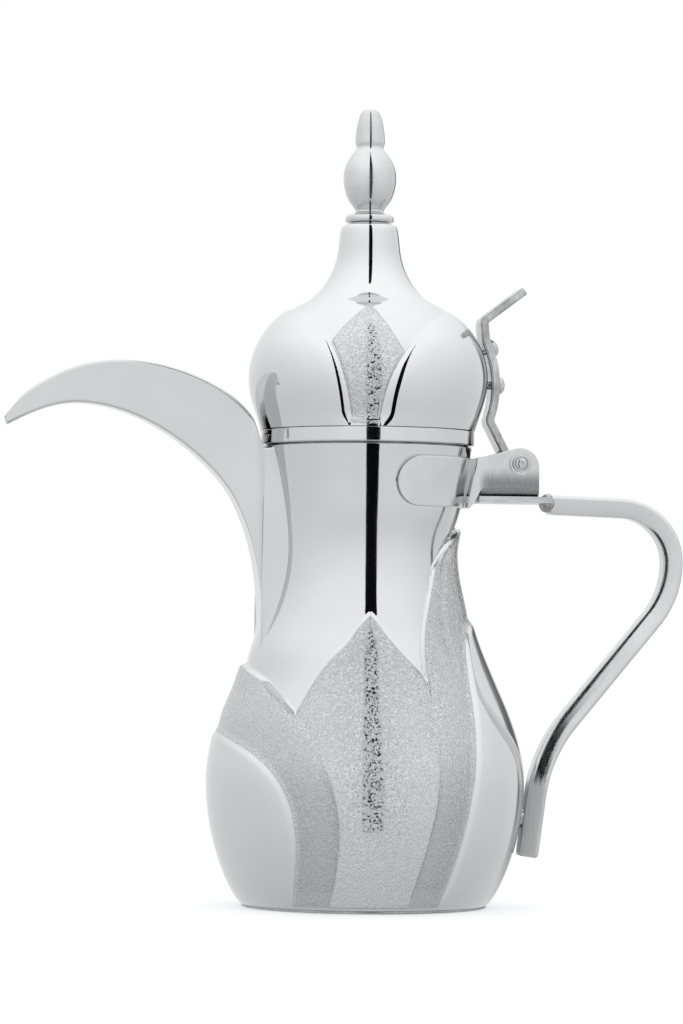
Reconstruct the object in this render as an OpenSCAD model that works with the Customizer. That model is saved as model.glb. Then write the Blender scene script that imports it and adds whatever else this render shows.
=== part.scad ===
// Dallah, the Arabic coffee pot: a pear-shaped pressed steel pot with a crescent
// spout, a bent handle, and a hinged dome lid with a thumb lever and a finial.
// Origin: centre of the base's underside, on the pot's axis.
// +Z is up, the spout points to -X and the handle to +X. Millimetres.

/* [Pot] */
// Widest radius of the belly
belly_r = 59.8; // [56:0.2:62]
// Height of the widest part of the belly
belly_z = 47; // [42:1:52]
// Narrowest radius, at the waist under the neck
waist_r = 34.2; // [33:0.1:35]
// Height of the waist
waist_z = 134; // [128:1:138]
// Outer radius of the mouth
mouth_r = 39.5; // [39.2:0.1:39.8]
// Height of the mouth's edge
mouth_z = 172.2; // [172:0.1:172.3]
// Radius of the base, at its corner
base_r = 46.5; // [45:0.5:48]
// Thickness of the pressed sheet
sheet = 1; // [0.8:0.1:1.2]
// Thickness of the base plate
base_t = 1; // [0.8:0.1:1.5]

/* [Spout] */
// Half width of the spout where it meets the neck
spout_root_w = 12; // [11:0.5:13]
// Half width of the spout at its tip
spout_tip_w = 3.9; // [3.6:0.1:5]
// Part of the spout's length that is open on top, at the tip
spout_slot = 0.2; // [0.16:0.01:0.22]
// Radius of each pouring hole through the neck
strainer_hole_r = 2.2; // [1.5:0.1:2.4]

/* [Hinge] */
// Distance of the hinge pin from the pot's axis
pin_x = 57; // [56:0.5:58]
// Height of the hinge pin
pin_z = 166.6; // [166:0.2:167]
// Radius of the hinge pin's shank
pin_r = 2; // [1.8:0.1:2.2]
// Radius of the rounded end of each cheek
cheek_r = 7.1; // [6.8:0.1:7.5]
// Half of the width over the two cheeks
cheek_y = 9; // [8.8:0.1:10]
// Thickness of the bracket's plate
bracket_t = 1.8; // [1.5:0.1:2]

/* [Handle] */
// Width of the handle's bar, front to back
handle_w = 11.5; // [10:0.5:13]
// Thickness of the handle's bar
handle_t = 7.3; // [7:0.1:8]

/* [Lid] */
// Radius of the hoop round the lid's edge
band_r = 40.2; // [39.9:0.1:40.4]
// Height of the hoop
band_h = 5.6; // [5:0.1:6]
// Widest radius of the dome
dome_r = 45.1; // [44.5:0.1:45.5]
// Thickness of the thumb lever's bar
lever_t = 3.2; // [2.5:0.1:3.4]
// Width of the thumb lever's bar
lever_w = 13; // [11:0.5:13]
// Top of the finial, the pot's full height
total_h = 300; // [298:1:302]

/* [Hidden] */
$fn = 96;

steel = "silver";
polished = "gainsboro";
weld_grey = "darkgray";

// Gap left between two pieces that are welded or soldered face to face
joint_gap = 0.05;
// Gap between the spout's foot and the neck, inside the weld
root_gap = 0.18;
// Running clearance of the pin in its bores
pin_gap = 0.06;
cut = 0.5;

// ---- Curves ----

// A point of a cubic curve with the four control points p
function cubic(p, t) =
    pow(1 - t, 3) * p[0] + 3 * t * pow(1 - t, 2) * p[1]
    + 3 * t * t * (1 - t) * p[2] + t * t * t * p[3];

// A chain of cubic curves taken at t from 0 to 1, each over an equal share
function chain(curves, t) =
    let (n = len(curves), k = min(n - 1, floor(t * n)))
    cubic(curves[k], t * n - k);

function chain_points(curves, steps) =
    [for (i = [0 : steps]) chain(curves, i / steps)];

// Points of a line moved to its left by d, for a line drawn upwards that is inwards
function moved_left(pts, d) = [
    for (i = [0 : len(pts) - 1])
        let (
            along = pts[min(i + 1, len(pts) - 1)] - pts[max(i - 1, 0)],
            side = [-along[1], along[0]] / norm(along)
        )
        pts[i] + d * side
];

function reversed(pts) = [for (i = [len(pts) - 1 : -1 : 0]) pts[i]];

// ---- Pot ----

// Outer outline of the pot: base to belly, belly to waist, waist to mouth
pot_curves = [
    [[base_r, base_t], [base_r + 5, 6], [belly_r, belly_z - 22], [belly_r, belly_z]],
    [[belly_r, belly_z], [belly_r, belly_z + 27], [waist_r, waist_z - 32], [waist_r, waist_z]],
    [[waist_r, waist_z], [waist_r, waist_z + 12], [mouth_r - 2.5, mouth_z - 12],
        [mouth_r, mouth_z]]
];
pot_outline = chain_points(pot_curves, 36);
pot_inline = moved_left(pot_outline, sheet);

// Radius of the pot's outside at height z
function pot_r(z) = lookup(z, [for (p = pot_outline) [p[1], p[0]]]);

// Solid that fills the pot between two heights, and stands out of its wall by a gap
module pot_core(low, high, gap) {
    steps = 6;
    rotate_extrude()
    polygon(concat(
        [[0, low]],
        [for (i = [0 : steps]) let (z = low + (high - low) * i / steps) [pot_r(z) + gap, z]],
        [[0, high]]
    ));
}

strainer_rows = [116 : 9 : 152];
strainer_pitch = 5.2;

module body_shell() {
    color(polished)
    difference() {
        rotate_extrude()
        polygon(concat(
            pot_outline,
            [[mouth_r - sheet, mouth_z]],
            reversed([for (p = pot_inline) if (p[1] > base_t && p[1] < mouth_z) p]),
            [[base_r - 1.2 * sheet, base_t]]
        ));
        for (z = strainer_rows, k = [-1.5 : 1 : 1.5])
            translate([-mouth_r - cut, k * strainer_pitch, z])
            rotate([0, 90, 0])
            cylinder(r = strainer_hole_r, h = mouth_r, $fn = 24);
    }
}

module base_plate() {
    edge_r = 0.4;
    inset = 0.6;
    plate_r = base_r - inset;
    color(steel)
    rotate_extrude()
    union() {
        square([plate_r - edge_r, base_t]);
        translate([0, edge_r]) square([plate_r, base_t - edge_r]);
        translate([plate_r - edge_r, edge_r]) circle(edge_r, $fn = 24);
    }
}

// ---- Spout ----

// Upper and lower edges of the crescent, from the neck to the tip, in X and Z
spout_top = [
    [[-39.7, 171], [-41.2, 172.2], [-42.2, 178], [-43.9, 182]],
    [[-43.9, 182], [-53, 197], [-86, 209], [-110, 201]],
    [[-110, 201], [-120.5, 197.5], [-130, 191.5], [-136.5, 183.5]]
];
spout_bottom = [
    [[-41.4, 97], [-39.6, 112], [-41, 134], [-51, 152.3]],
    [[-51, 152.3], [-58, 165], [-82, 186.5], [-108, 187.4]],
    [[-108, 187.4], [-118, 187.8], [-127, 183.5], [-135.3, 179]]
];
spout_steps = 15;
spout_ring = 9;
// Powers that square off the spout's section: of its height, and of its flat flanks
spout_square = 0.8;
spout_flat = 0.5;
// Rate at which the spout narrows towards the tip
spout_taper = 1.4;

function spout_half_width(t) =
    spout_tip_w + (spout_root_w - spout_tip_w) * pow(1 - t, spout_taper);

// Angle down from the top at which the section starts: the tip is open on top
function slot_angle(t) = 60 * pow(max(0, (t - 1 + spout_slot) / spout_slot), 0.5);

// A point of the section at t and angle a down from the top, at a depth inside
function spout_point(t, a, depth) =
    let (
        top = chain(spout_top, t),
        low = chain(spout_bottom, t),
        mid = (top + low) / 2,
        shrink = 1 - 2 * depth / norm(top - low),
        up = sign(cos(a)) * pow(abs(cos(a)), spout_square) * shrink,
        y = (spout_half_width(t) - depth) * pow(abs(sin(a)), spout_flat),
        flat = mid + (top - mid) * up,
        r = pot_r(flat[1]) + root_gap,
        // the root's section lies on the neck, and the others are flat
        x = t > 0 ? min(flat[0], -sqrt(max(0, r * r - y * y))) : -sqrt(r * r - y * y)
    )
    [x, y, flat[1]];

// Half of one section: its outside from top to bottom, then its inside back up
function spout_section(t) =
    let (start = slot_angle(t), step = (180 - start) / spout_ring)
    concat(
        [for (i = [0 : spout_ring]) spout_point(t, start + i * step, 0)],
        [for (i = [spout_ring : -1 : 0]) spout_point(t, start + i * step, sheet)]
    );

module spout_half() {
    count = 2 * (spout_ring + 1);
    points = [for (k = [0 : spout_steps]) each spout_section(k / spout_steps)];
    sides = [
        for (k = [0 : spout_steps - 1], i = [0 : count - 1])
            let (a = k * count + i, b = k * count + (i + 1) % count)
            each [[a, b, b + count], [a, b + count, a + count]]
    ];
    ends = [
        for (i = [0 : spout_ring - 1])
            let (
                j = count - 1 - i,
                last = spout_steps * count
            )
            each [
                [i, j, j - 1], [i, j - 1, i + 1],
                [last + i, last + j - 1, last + j], [last + i, last + i + 1, last + j - 1]
            ]
    ];
    polyhedron(points, concat(sides, ends));
}

module spout_front_half() {
    color(polished)
    translate([0, -joint_gap / 2, 0])
    mirror([0, 1, 0])
    spout_half();
}

module spout_back_half() {
    color(polished)
    translate([0, joint_gap / 2, 0])
    spout_half();
}

// Fillet of weld round the spout's root: it follows the neck and the spout's foot
weld_reach = 2.6;
weld_steps = 40;
// Start of the weld beside the spout's foot, and its height above the neck there
weld_start = 0.15;
weld_lift = 0.02;

function weld_section(a) =
    let (
        high = chain(spout_top, 0)[1],
        low = chain(spout_bottom, 0)[1],
        half = (high - low) / 2,
        mid = (high + low) / 2,
        up = sign(cos(a)) * pow(abs(cos(a)), spout_square),
        out = sign(sin(a)) * pow(abs(sin(a)), spout_flat)
    )
    [
        for (k = [[weld_start, weld_lift], [weld_reach, weld_lift], [weld_start, weld_reach]])
            let (
                z = min(mid + up * (half + k[0]), mouth_z - joint_gap),
                y = out * (spout_root_w + k[0]),
                r = pot_r(z) + k[1] + joint_gap
            )
            [-sqrt(r * r - y * y), y, z]
    ];

module spout_weld() {
    points = [for (k = [0 : weld_steps - 1]) each weld_section(360 * k / weld_steps)];
    faces = [
        for (k = [0 : weld_steps - 1], i = [0 : 2])
            let (
                a = 3 * k + i,
                b = 3 * k + (i + 1) % 3,
                c = 3 * ((k + 1) % weld_steps) + (i + 1) % 3,
                d = 3 * ((k + 1) % weld_steps) + i
            )
            each [[a, c, b], [a, d, c]]
    ];
    color(weld_grey)
    polyhedron(points, faces);
}

// ---- Hinge ----

wing_start = 16;
wing_end = 66;
wing_low = 149.4;
wing_high = 168;
wing_gap = 0.15;
// How far cut-outs for the pot reach below and above a height
core_below = 9;
core_above = 21;
bracket_x = 41.4;
// The bracket's lower edge slopes up to the floor from here
slope_x = 30;
// The top edge's rise where the cheek starts, and the way it leaves the round's centre
cheek_rise = 0.6;
cheek_tangent = [-0.26, 0.966];
// The centre of the round lies below the pin
cheek_z = pin_z - 1.1;
// Link plate between wing and cheek, seen from above
link_corners = [[34, 14.6], [35.6, 16]];
link_overlap = 1.2;
link_back = 0.4;
bracket_end = pin_x + cheek_r;
bracket_floor_z = 154.3;
bend_r = 2.8;
base_plate_t = 2.4;
handle_start_x = 69.2;

// Strip of plate bent round the neck, as a half section from low to high
module neck_strip(low, high) {
    heights = [for (i = [0 : 6]) low + (high - low) * i / 6];
    polygon(concat(
        [for (z = heights) [pot_r(z) + wing_gap, z]],
        reversed([for (z = heights) [pot_r(z) + wing_gap + bracket_t, z]])
    ));
}

// One wing: a stretch of the strip, cut to a round end
module bracket_wing() {
    half = (wing_high - wing_low) / 2;
    reach = mouth_r + 2 * bracket_t;
    intersection() {
        rotate([0, 0, wing_start])
        rotate_extrude(angle = 90 - wing_start)
        neck_strip(wing_low, wing_high);
        union() {
            translate([0, 0, wing_low - cut])
            linear_extrude(2 * half + 2 * cut)
            polygon([[0, 0], [2 * reach, 0], 2 * reach * [cos(wing_end), sin(wing_end)]]);
            rotate([0, 0, wing_end])
            translate([0, 0, wing_low + half])
            rotate([0, 90, 0])
            cylinder(r = half, h = reach);
        }
    }
}

// Cheeks and floor, looking along X
module channel_section() {
    tall = cheek_z + cheek_r - bracket_floor_z;
    difference() {
        union() {
            translate([-cheek_y, bend_r]) square([2 * cheek_y, tall]);
            translate([bend_r - cheek_y, 0]) square([2 * (cheek_y - bend_r), tall]);
            for (side = [-1, 1])
                translate([side * (cheek_y - bend_r), bend_r]) circle(bend_r, $fn = 48);
        }
        translate([bracket_t - cheek_y, bracket_t])
        square([2 * (cheek_y - bracket_t), tall + cut]);
    }
}

// Outline of the bracket from the side, in X and Z
module bracket_side() {
    union() {
        polygon([
            [0, wing_low], [slope_x, wing_low], [bracket_x, bracket_floor_z],
            [bracket_end, bracket_floor_z], [bracket_end, cheek_z], [pin_x, cheek_z],
            [pin_x, cheek_z] + cheek_r * cheek_tangent,
            [bracket_x, wing_high + cheek_rise], [0, wing_high]
        ]);
        translate([pin_x, cheek_z]) circle(cheek_r);
    }
}

// Slanted plate from a wing's end to a cheek's end, looking down
module bracket_link() {
    linear_extrude(cheek_z + cheek_r)
    polygon(concat(link_corners, [
        [bracket_x + link_overlap, cheek_y],
        [bracket_x + link_overlap, cheek_y - bracket_t],
        [bracket_x - link_back, cheek_y - bracket_t]
    ]));
}

module along_y(width) {
    translate([0, width / 2, 0])
    rotate([90, 0, 0])
    linear_extrude(width)
    children();
}

module hinge_bracket() {
    color(steel)
    difference() {
        union() {
            for (side = [0, 1]) mirror([0, side, 0]) bracket_wing();
            intersection() {
                along_y(4 * cheek_y) bracket_side();
                union() {
                    translate([bracket_x, 0, bracket_floor_z])
                    rotate([90, 0, 90])
                    linear_extrude(bracket_end - bracket_x)
                    channel_section();
                    for (side = [0, 1]) mirror([0, side, 0]) bracket_link();
                }
            }
        }
        pot_core(wing_low - core_below, wing_low + core_above, wing_gap);
        translate([pin_x, 2 * cheek_y, pin_z])
        rotate([90, 0, 0])
        cylinder(r = pin_r + joint_gap, h = 4 * cheek_y);
    }
}

module hinge_base_plate() {
    color(steel)
    translate([bracket_x, -cheek_y, bracket_floor_z - base_plate_t - joint_gap])
    cube([handle_start_x - bracket_x - joint_gap, 2 * cheek_y, base_plate_t]);
}

washer_t = 0.6;
washer_r = 4.2;
pin_head_r = 3.2;
pin_head_h = 1.5;

// Domed head standing on the XY plane
module dome_head(r, h) {
    ball = (r * r + h * h) / (2 * h);
    rotate_extrude()
    intersection() {
        translate([0, h - ball]) circle(ball);
        square([r, h]);
    }
}

module hinge_pin() {
    reach = cheek_y + washer_t + 2 * joint_gap;
    color(polished)
    translate([pin_x, 0, pin_z])
    union() {
        rotate([90, 0, 0])
        cylinder(r = pin_r, h = 2 * reach, center = true);
        for (side = [-90, 90])
            rotate([side, 0, 0]) translate([0, 0, reach]) dome_head(pin_head_r, pin_head_h);
    }
}

module ring(outer, inner, h) {
    difference() {
        cylinder(r = outer, h = h);
        translate([0, 0, -cut]) cylinder(r = inner, h = h + 2 * cut);
    }
}

module pin_washers() {
    color(polished)
    for (side = [-90, 90])
        translate([pin_x, 0, pin_z])
        rotate([side, 0, 0])
        translate([0, 0, cheek_y + joint_gap])
        ring(washer_r, pin_r + joint_gap, washer_t);
}

// ---- Handle ----

// The bar's path: a length, two bends towards the hand, a length, a bend away, a length.
// A bend is its radius and its angle, and a heading is in degrees below +X.
handle_heading = 2;
handle_top_run = 27.8;
handle_shoulder = [20.35, 88];
handle_hip = [34.35, 39.5];
handle_long_run = 49.9;
handle_ankle = [55.65, -32];
handle_foot_run = 23.2;
bend_step = 8;

// Unit vectors along a heading, and across it towards the hand
function ahead(h) = [cos(h), -sin(h)];
function handwards(h) = [-sin(h), -cos(h)];

// Points and headings of a bend that starts at p with heading h
function bend_path(p, h, bend) =
    let (
        side = sign(bend[1]),
        centre = p + side * bend[0] * handwards(h),
        steps = ceil(abs(bend[1]) / bend_step)
    )
    [
        for (i = [0 : steps])
            let (turned = h + bend[1] * i / steps)
            [centre - side * bend[0] * handwards(turned), turned]
    ];

function last(list) = list[len(list) - 1];
function run_end(place, length) = [place[0] + length * ahead(place[1]), place[1]];

handle_rise = 0.8;
handle_start = [[handle_start_x, bracket_floor_z + handle_rise - handle_t / 2], handle_heading];
handle_top_end = run_end(handle_start, handle_top_run);
shoulder_path = bend_path(handle_top_end[0], handle_top_end[1], handle_shoulder);
hip_path = bend_path(last(shoulder_path)[0], last(shoulder_path)[1], handle_hip);
long_end = run_end(last(hip_path), handle_long_run);
ankle_path = bend_path(long_end[0], long_end[1], handle_ankle);
handle_path = concat(
    [handle_start], shoulder_path, [for (i = [1 : len(hip_path) - 1]) hip_path[i]],
    ankle_path, [run_end(last(ankle_path), handle_foot_run)]
);

// Section of the bar, outwards and across: flat on the hand's side, with flanks that lean
// in towards it, and rounded corners outside
hand_chamfer = 0.4;
flank_lean = 0.77;
corner_r = 1.7;
handle_corner = [
    [-handle_t / 2, handle_w / 2 - flank_lean - hand_chamfer],
    [hand_chamfer - handle_t / 2, handle_w / 2 - flank_lean],
    for (a = [0 : 22.5 : 90])
        [handle_t / 2 - corner_r + corner_r * sin(a), handle_w / 2 - corner_r + corner_r * cos(a)]
];
handle_section = concat(
    [for (q = handle_corner) [q[0], -q[1]]],
    reversed(handle_corner)
);

module handle() {
    count = len(handle_section);
    rings = len(handle_path);
    points = [
        for (place = handle_path, q = handle_section)
            let (p = place[0] - q[0] * handwards(place[1]))
            [p[0], q[1], p[1]]
    ];
    sides = [
        for (k = [0 : rings - 2], i = [0 : count - 1])
            let (a = k * count + i, b = k * count + (i + 1) % count)
            each [[a, a + count, b + count], [a, b + count, b]]
    ];
    ends = [
        [for (i = [0 : count - 1]) i],
        [for (i = [count - 1 : -1 : 0]) (rings - 1) * count + i]
    ];
    color(polished)
    polyhedron(points, concat(sides, ends));
}

bead_r = 2.5;
bead_pitch = 2.1;
bead_x = handle_start_x - 0.4;
bead_z = bracket_floor_z - 2.6;
bead_waver = 0.3;

// Bead of weld across the bar's end, where it meets the hinge's base plate
module handle_weld() {
    color(weld_grey)
    for (k = [-2 : 2])
        translate([bead_x, bead_pitch * k, bead_z - bead_waver * (k % 2)])
        sphere(bead_r, $fn = 32);
}

// Weld that fills the gap between the belly and the bar's foot
foot_weld_z = 33;
foot_weld_r = 3.6;
foot_weld_reach = 61.6;

module handle_foot_weld() {
    color(weld_grey)
    difference() {
        translate([belly_r - 4, 0, foot_weld_z])
        rotate([0, 90, 0])
        cylinder(r = foot_weld_r, h = foot_weld_reach - belly_r + 4);
        pot_core(foot_weld_z - core_below, foot_weld_z + core_below, joint_gap);
    }
}

// ---- Lid ----

lid_z = 172.6;
band_z = 172.8;
band_top = band_z + band_h;
collar_r = 38.85;
skirt_r = 37.3;
skirt_low = 169.2;
skirt_t = 0.9;
// The skirt's top is below the band's, and its wall steps out over these heights
skirt_drop = 1.4;
skirt_step = [0.4, 0.9];
neck_top_r = 9.3;
neck_top_z = 256.2;
stud_r = 2;

lid_curves = [
    [[band_r + 0.1, band_top + joint_gap], [42.2, 185], [dome_r, 191], [dome_r, 198]],
    [[dome_r, 198], [dome_r, 211], [36.5, 221.5], [26, 226.3]],
    [[26, 226.3], [18.5, 229.8], [12.6, 237], [11.6, 248]],
    [[11.6, 248], [11.1, 252.5], [10.9, neck_top_z], [neck_top_r, neck_top_z]]
];
lid_outline = chain_points(lid_curves, 40);
lid_inline = moved_left(lid_outline, sheet);

// The thumb lever rises off one side of its knuckle, follows an arc round the dome's back,
// and bends out to the thumb rest
lever_centre = [8.2, 196];
lever_arc_r = 39.6;
lever_arc = [-19.4, 25.4];
lever_bend = [43.2, 220.5];
lever_tip = [57.5, 231.3];
knuckle_r = 4.4;
knuckle_side = [-2.5, -1.3];

function on_arc(a) = lever_centre + lever_arc_r * [cos(a), sin(a)];

// Distance from the lever's centre to the dome's outside at angle a
function dome_reach(a) = lookup(a, [
    for (p = lid_outline)
        let (d = p - lever_centre)
        [atan2(d[1], d[0]), norm(d)]
]);

rivet_angles = [0.7, 20.6];
rivet_r = 1.6;
rivet_head_r = 3.4;
rivet_head_h = 2.6;
rivet_washer_t = 0.6;
rivet_washer_r = 3.2;
// Gap between the curved wall and the flat washer inside it
washer_gap = 0.75;
button_h = 1;

// Places children on each rivet's axis, with +Z pointing out of the dome
module at_rivets() {
    for (a = rivet_angles)
        translate([lever_centre[0], 0, lever_centre[1]])
        rotate([0, 90 - a, 0])
        let ($angle = a)
        children();
}

module lid_shell() {
    color(polished)
    difference() {
        rotate_extrude()
        polygon(concat(
            [[collar_r, lid_z], [collar_r, band_top + joint_gap]],
            lid_outline,
            [[stud_r + joint_gap, neck_top_z], [stud_r + joint_gap, neck_top_z - sheet]],
            reversed([
                for (p = lid_inline)
                    if (p[1] < neck_top_z - sheet && p[1] > band_top + sheet) p
            ]),
            [[collar_r - sheet, band_top + sheet], [collar_r - sheet, lid_z]]
        ));
        at_rivets() cylinder(r = rivet_r + joint_gap, h = 2 * lever_arc_r);
    }
}

module lid_band() {
    edge = 0.35;
    color(polished)
    rotate_extrude()
    polygon([
        [collar_r + joint_gap, band_z], [band_r - edge, band_z], [band_r, band_z + edge],
        [band_r, band_top - edge], [band_r - edge, band_top], [collar_r + joint_gap, band_top]
    ]);
}

module lid_skirt() {
    joint_r = collar_r - sheet - joint_gap;
    color(steel)
    rotate_extrude()
    polygon([
        [skirt_r - skirt_t, skirt_low], [skirt_r, skirt_low], [skirt_r, lid_z + skirt_step[0]],
        [joint_r, lid_z + skirt_step[1]], [joint_r, band_top - skirt_drop],
        [skirt_r - skirt_t, band_top - skirt_drop]
    ]);
}

// Straight bar from p to q with round ends, seen from the side
module side_bar(p, q) {
    d = q - p;
    translate(p)
    rotate(atan2(d[1], d[0]))
    translate([0, -lever_t / 2])
    square([norm(d), lever_t]);
    for (end = [p, q]) translate(end) circle(lever_t / 2, $fn = 48);
}

module lever_side() {
    union() {
        translate(lever_centre)
        intersection() {
            difference() {
                circle(lever_arc_r + lever_t / 2, $fn = 240);
                circle(lever_arc_r - lever_t / 2, $fn = 240);
            }
            polygon(concat(
                [[0, 0]],
                [for (k = [0 : 0.2 : 1])
                    let (a = lever_arc[0] + k * (lever_arc[1] - lever_arc[0]))
                    1.2 * lever_arc_r * [cos(a), sin(a)]]
            ));
        }
        side_bar([pin_x, pin_z] + knuckle_side, on_arc(lever_arc[0]));
        side_bar(on_arc(lever_arc[1]), lever_bend);
        side_bar(lever_bend, lever_tip);
        translate([pin_x, pin_z]) circle(knuckle_r);
    }
}

module lid_lever() {
    color(polished)
    difference() {
        along_y(lever_w) lever_side();
        translate([pin_x, lever_w, pin_z])
        rotate([90, 0, 0])
        cylinder(r = pin_r + pin_gap, h = 2 * lever_w);
        at_rivets() cylinder(r = rivet_r + joint_gap, h = 2 * lever_arc_r);
    }
}

module lever_rivets() {
    outside = lever_arc_r + lever_t / 2 + joint_gap;
    color(polished)
    at_rivets()
    union() {
        inside = dome_reach($angle) - sheet - rivet_washer_t - washer_gap - 2 * joint_gap;
        translate([0, 0, outside]) dome_head(rivet_head_r, rivet_head_h);
        translate([0, 0, inside]) cylinder(r = rivet_r, h = outside - inside);
        translate([0, 0, inside]) mirror([0, 0, 1]) dome_head(rivet_r + button_h, button_h);
    }
}

module rivet_washers() {
    color(steel)
    at_rivets()
    translate([0, 0, dome_reach($angle) - sheet - rivet_washer_t - washer_gap])
    ring(rivet_washer_r, rivet_r + joint_gap, rivet_washer_t);
}

// ---- Finial ----

egg_z = 272.8;
egg_r = 10;
egg_half_h = 12.4;
stud_low = 246;
stud_high = 268;

finial_base = [
    [0, neck_top_z + joint_gap], [7.5, neck_top_z + joint_gap], [7.5, 257], [8.9, 257.3],
    [9.2, 258.6], [8.8, 260], [6.4, 260.9]
];
finial_cap = [
    [5.2, 285], [5.6, 286.8], [5.5, 289.5], [5.2, 292.3], [4.6, 295.4],
    [3.3, total_h - 0.9], [2.4, total_h], [0, total_h]
];
egg_outline = [
    for (a = [-54 : 9 : 54])
        [5 + (egg_r - 5) * cos(a * 1.55), egg_z + egg_half_h * sin(a) / sin(58)]
];

module finial() {
    color(polished)
    difference() {
        rotate_extrude()
        polygon(concat(finial_base, egg_outline, finial_cap));
        translate([0, 0, neck_top_z - cut])
        cylinder(r = stud_r + joint_gap, h = stud_high - neck_top_z + 1 + cut);
    }
}

module finial_stud() {
    color(steel)
    translate([0, 0, stud_low])
    cylinder(r = stud_r, h = stud_high - stud_low);
}

inner_washer_t = 0.8;
nut_h = 3.2;

module finial_washer() {
    color(steel)
    translate([0, 0, neck_top_z - sheet - joint_gap - inner_washer_t])
    ring(4.5, stud_r + joint_gap, inner_washer_t);
}

module finial_nut() {
    color(steel)
    translate([0, 0, neck_top_z - sheet - 2 * joint_gap - inner_washer_t - nut_h])
    difference() {
        cylinder(d = 7 / cos(30), h = nut_h, $fn = 6);
        translate([0, 0, -cut]) cylinder(r = stud_r + joint_gap, h = nut_h + 2 * cut);
    }
}

body_shell();
base_plate();
spout_front_half();
spout_back_half();
spout_weld();
hinge_bracket();
hinge_base_plate();
hinge_pin();
pin_washers();
handle();
handle_weld();
handle_foot_weld();
lid_shell();
lid_band();
lid_skirt();
lid_lever();
lever_rivets();
rivet_washers();
finial();
finial_stud();
finial_washer();
finial_nut();
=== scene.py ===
import math

import bpy
import numpy as np
from mathutils import Matrix, Vector


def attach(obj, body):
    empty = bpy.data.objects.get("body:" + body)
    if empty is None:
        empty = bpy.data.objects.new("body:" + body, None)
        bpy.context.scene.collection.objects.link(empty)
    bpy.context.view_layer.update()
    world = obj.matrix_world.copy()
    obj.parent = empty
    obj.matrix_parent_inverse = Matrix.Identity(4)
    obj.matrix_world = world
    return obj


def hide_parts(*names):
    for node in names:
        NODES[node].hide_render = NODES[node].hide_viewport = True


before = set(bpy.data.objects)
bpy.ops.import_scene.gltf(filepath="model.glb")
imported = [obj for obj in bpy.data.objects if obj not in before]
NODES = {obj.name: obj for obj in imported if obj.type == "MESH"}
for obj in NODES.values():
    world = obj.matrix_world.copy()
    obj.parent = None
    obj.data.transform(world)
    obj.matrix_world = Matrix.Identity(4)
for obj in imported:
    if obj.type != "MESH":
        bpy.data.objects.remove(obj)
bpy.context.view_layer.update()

# Lengths in the shape code are millimetres; build() turns them into metres.
MM = 0.001
SHEET = 1.0


# ---------------------------------------------------------------- curves

def cubic(points, t):
    p = [np.array(q, float) for q in points]
    t = np.asarray(t, float)[:, None]
    return (1 - t) ** 3 * p[0] + 3 * t * (1 - t) ** 2 * p[1] + 3 * t * t * (1 - t) * p[2] + t ** 3 * p[3]


def chain(curves, t):
    """Points of a chain of cubics at t from 0 to 1, each curve over an equal share."""
    t = np.atleast_1d(np.asarray(t, float))
    n = len(curves)
    k = np.minimum((t * n).astype(int), n - 1)
    out = np.zeros((len(t), 2))
    for i in range(n):
        pick = k == i
        if pick.any():
            out[pick] = cubic(curves[i], t[pick] * n - i)
    return out


def resample(line, step):
    """The same line with points evenly spaced along it."""
    line = np.asarray(line, float)
    d = np.r_[0, np.cumsum(np.linalg.norm(np.diff(line, axis=0), axis=1))]
    s = np.linspace(0, d[-1], max(2, int(round(d[-1] / step)) + 1))
    return np.stack([np.interp(s, d, line[:, i]) for i in range(line.shape[1])], 1)


def through(points, per=10):
    """A smooth line through the points (centripetal-like Catmull-Rom)."""
    p = np.asarray(points, float)
    p = np.vstack([2 * p[0] - p[1], p, 2 * p[-1] - p[-2]])
    out = []
    for i in range(1, len(p) - 2):
        t = np.linspace(0, 1, per, endpoint=False)[:, None]
        a, b, c, d = p[i - 1], p[i], p[i + 1], p[i + 2]
        out.append(0.5 * (2 * b + (c - a) * t + (2 * a - 5 * b + 4 * c - d) * t * t
                          + (3 * b - a - 3 * c + d) * t ** 3))
    out.append(p[-2][None])
    return np.vstack(out)


def rounded_line(points, radii, step=12):
    """A polyline whose inner corners are turned into arcs of the given radii."""
    p = [np.array(q, float) for q in points]
    out = [p[0][None]]
    for i in range(1, len(p) - 1):
        r = radii[i - 1]
        a, b = p[i - 1] - p[i], p[i + 1] - p[i]
        la, lb = np.linalg.norm(a), np.linalg.norm(b)
        a, b = a / la, b / lb
        angle = math.acos(max(-1, min(1, float(a @ b))))
        if r <= 0 or angle > math.radians(179):
            out.append(p[i][None])
            continue
        cut = min(r / math.tan(angle / 2), 0.49 * la, 0.49 * lb)
        r = cut * math.tan(angle / 2)
        start, end = p[i] + a * cut, p[i] + b * cut
        mid = (a + b) / np.linalg.norm(a + b)
        centre = p[i] + mid * (r / math.sin(angle / 2))
        turn = math.pi - angle
        n = max(2, int(math.ceil(math.degrees(turn) / step)))
        u, v = start - centre, end - centre
        w = np.linspace(0, 1, n + 1)[:, None]
        out.append(centre + (np.sin((1 - w) * turn) * u + np.sin(w * turn) * v) / math.sin(turn))
    out.append(p[-1][None])
    return np.vstack(out)


def smooth(x, lo, hi):
    t = np.clip((np.asarray(x, float) - lo) / (hi - lo), 0, 1)
    return t * t * (3 - 2 * t)


# ---------------------------------------------------------------- meshes

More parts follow.
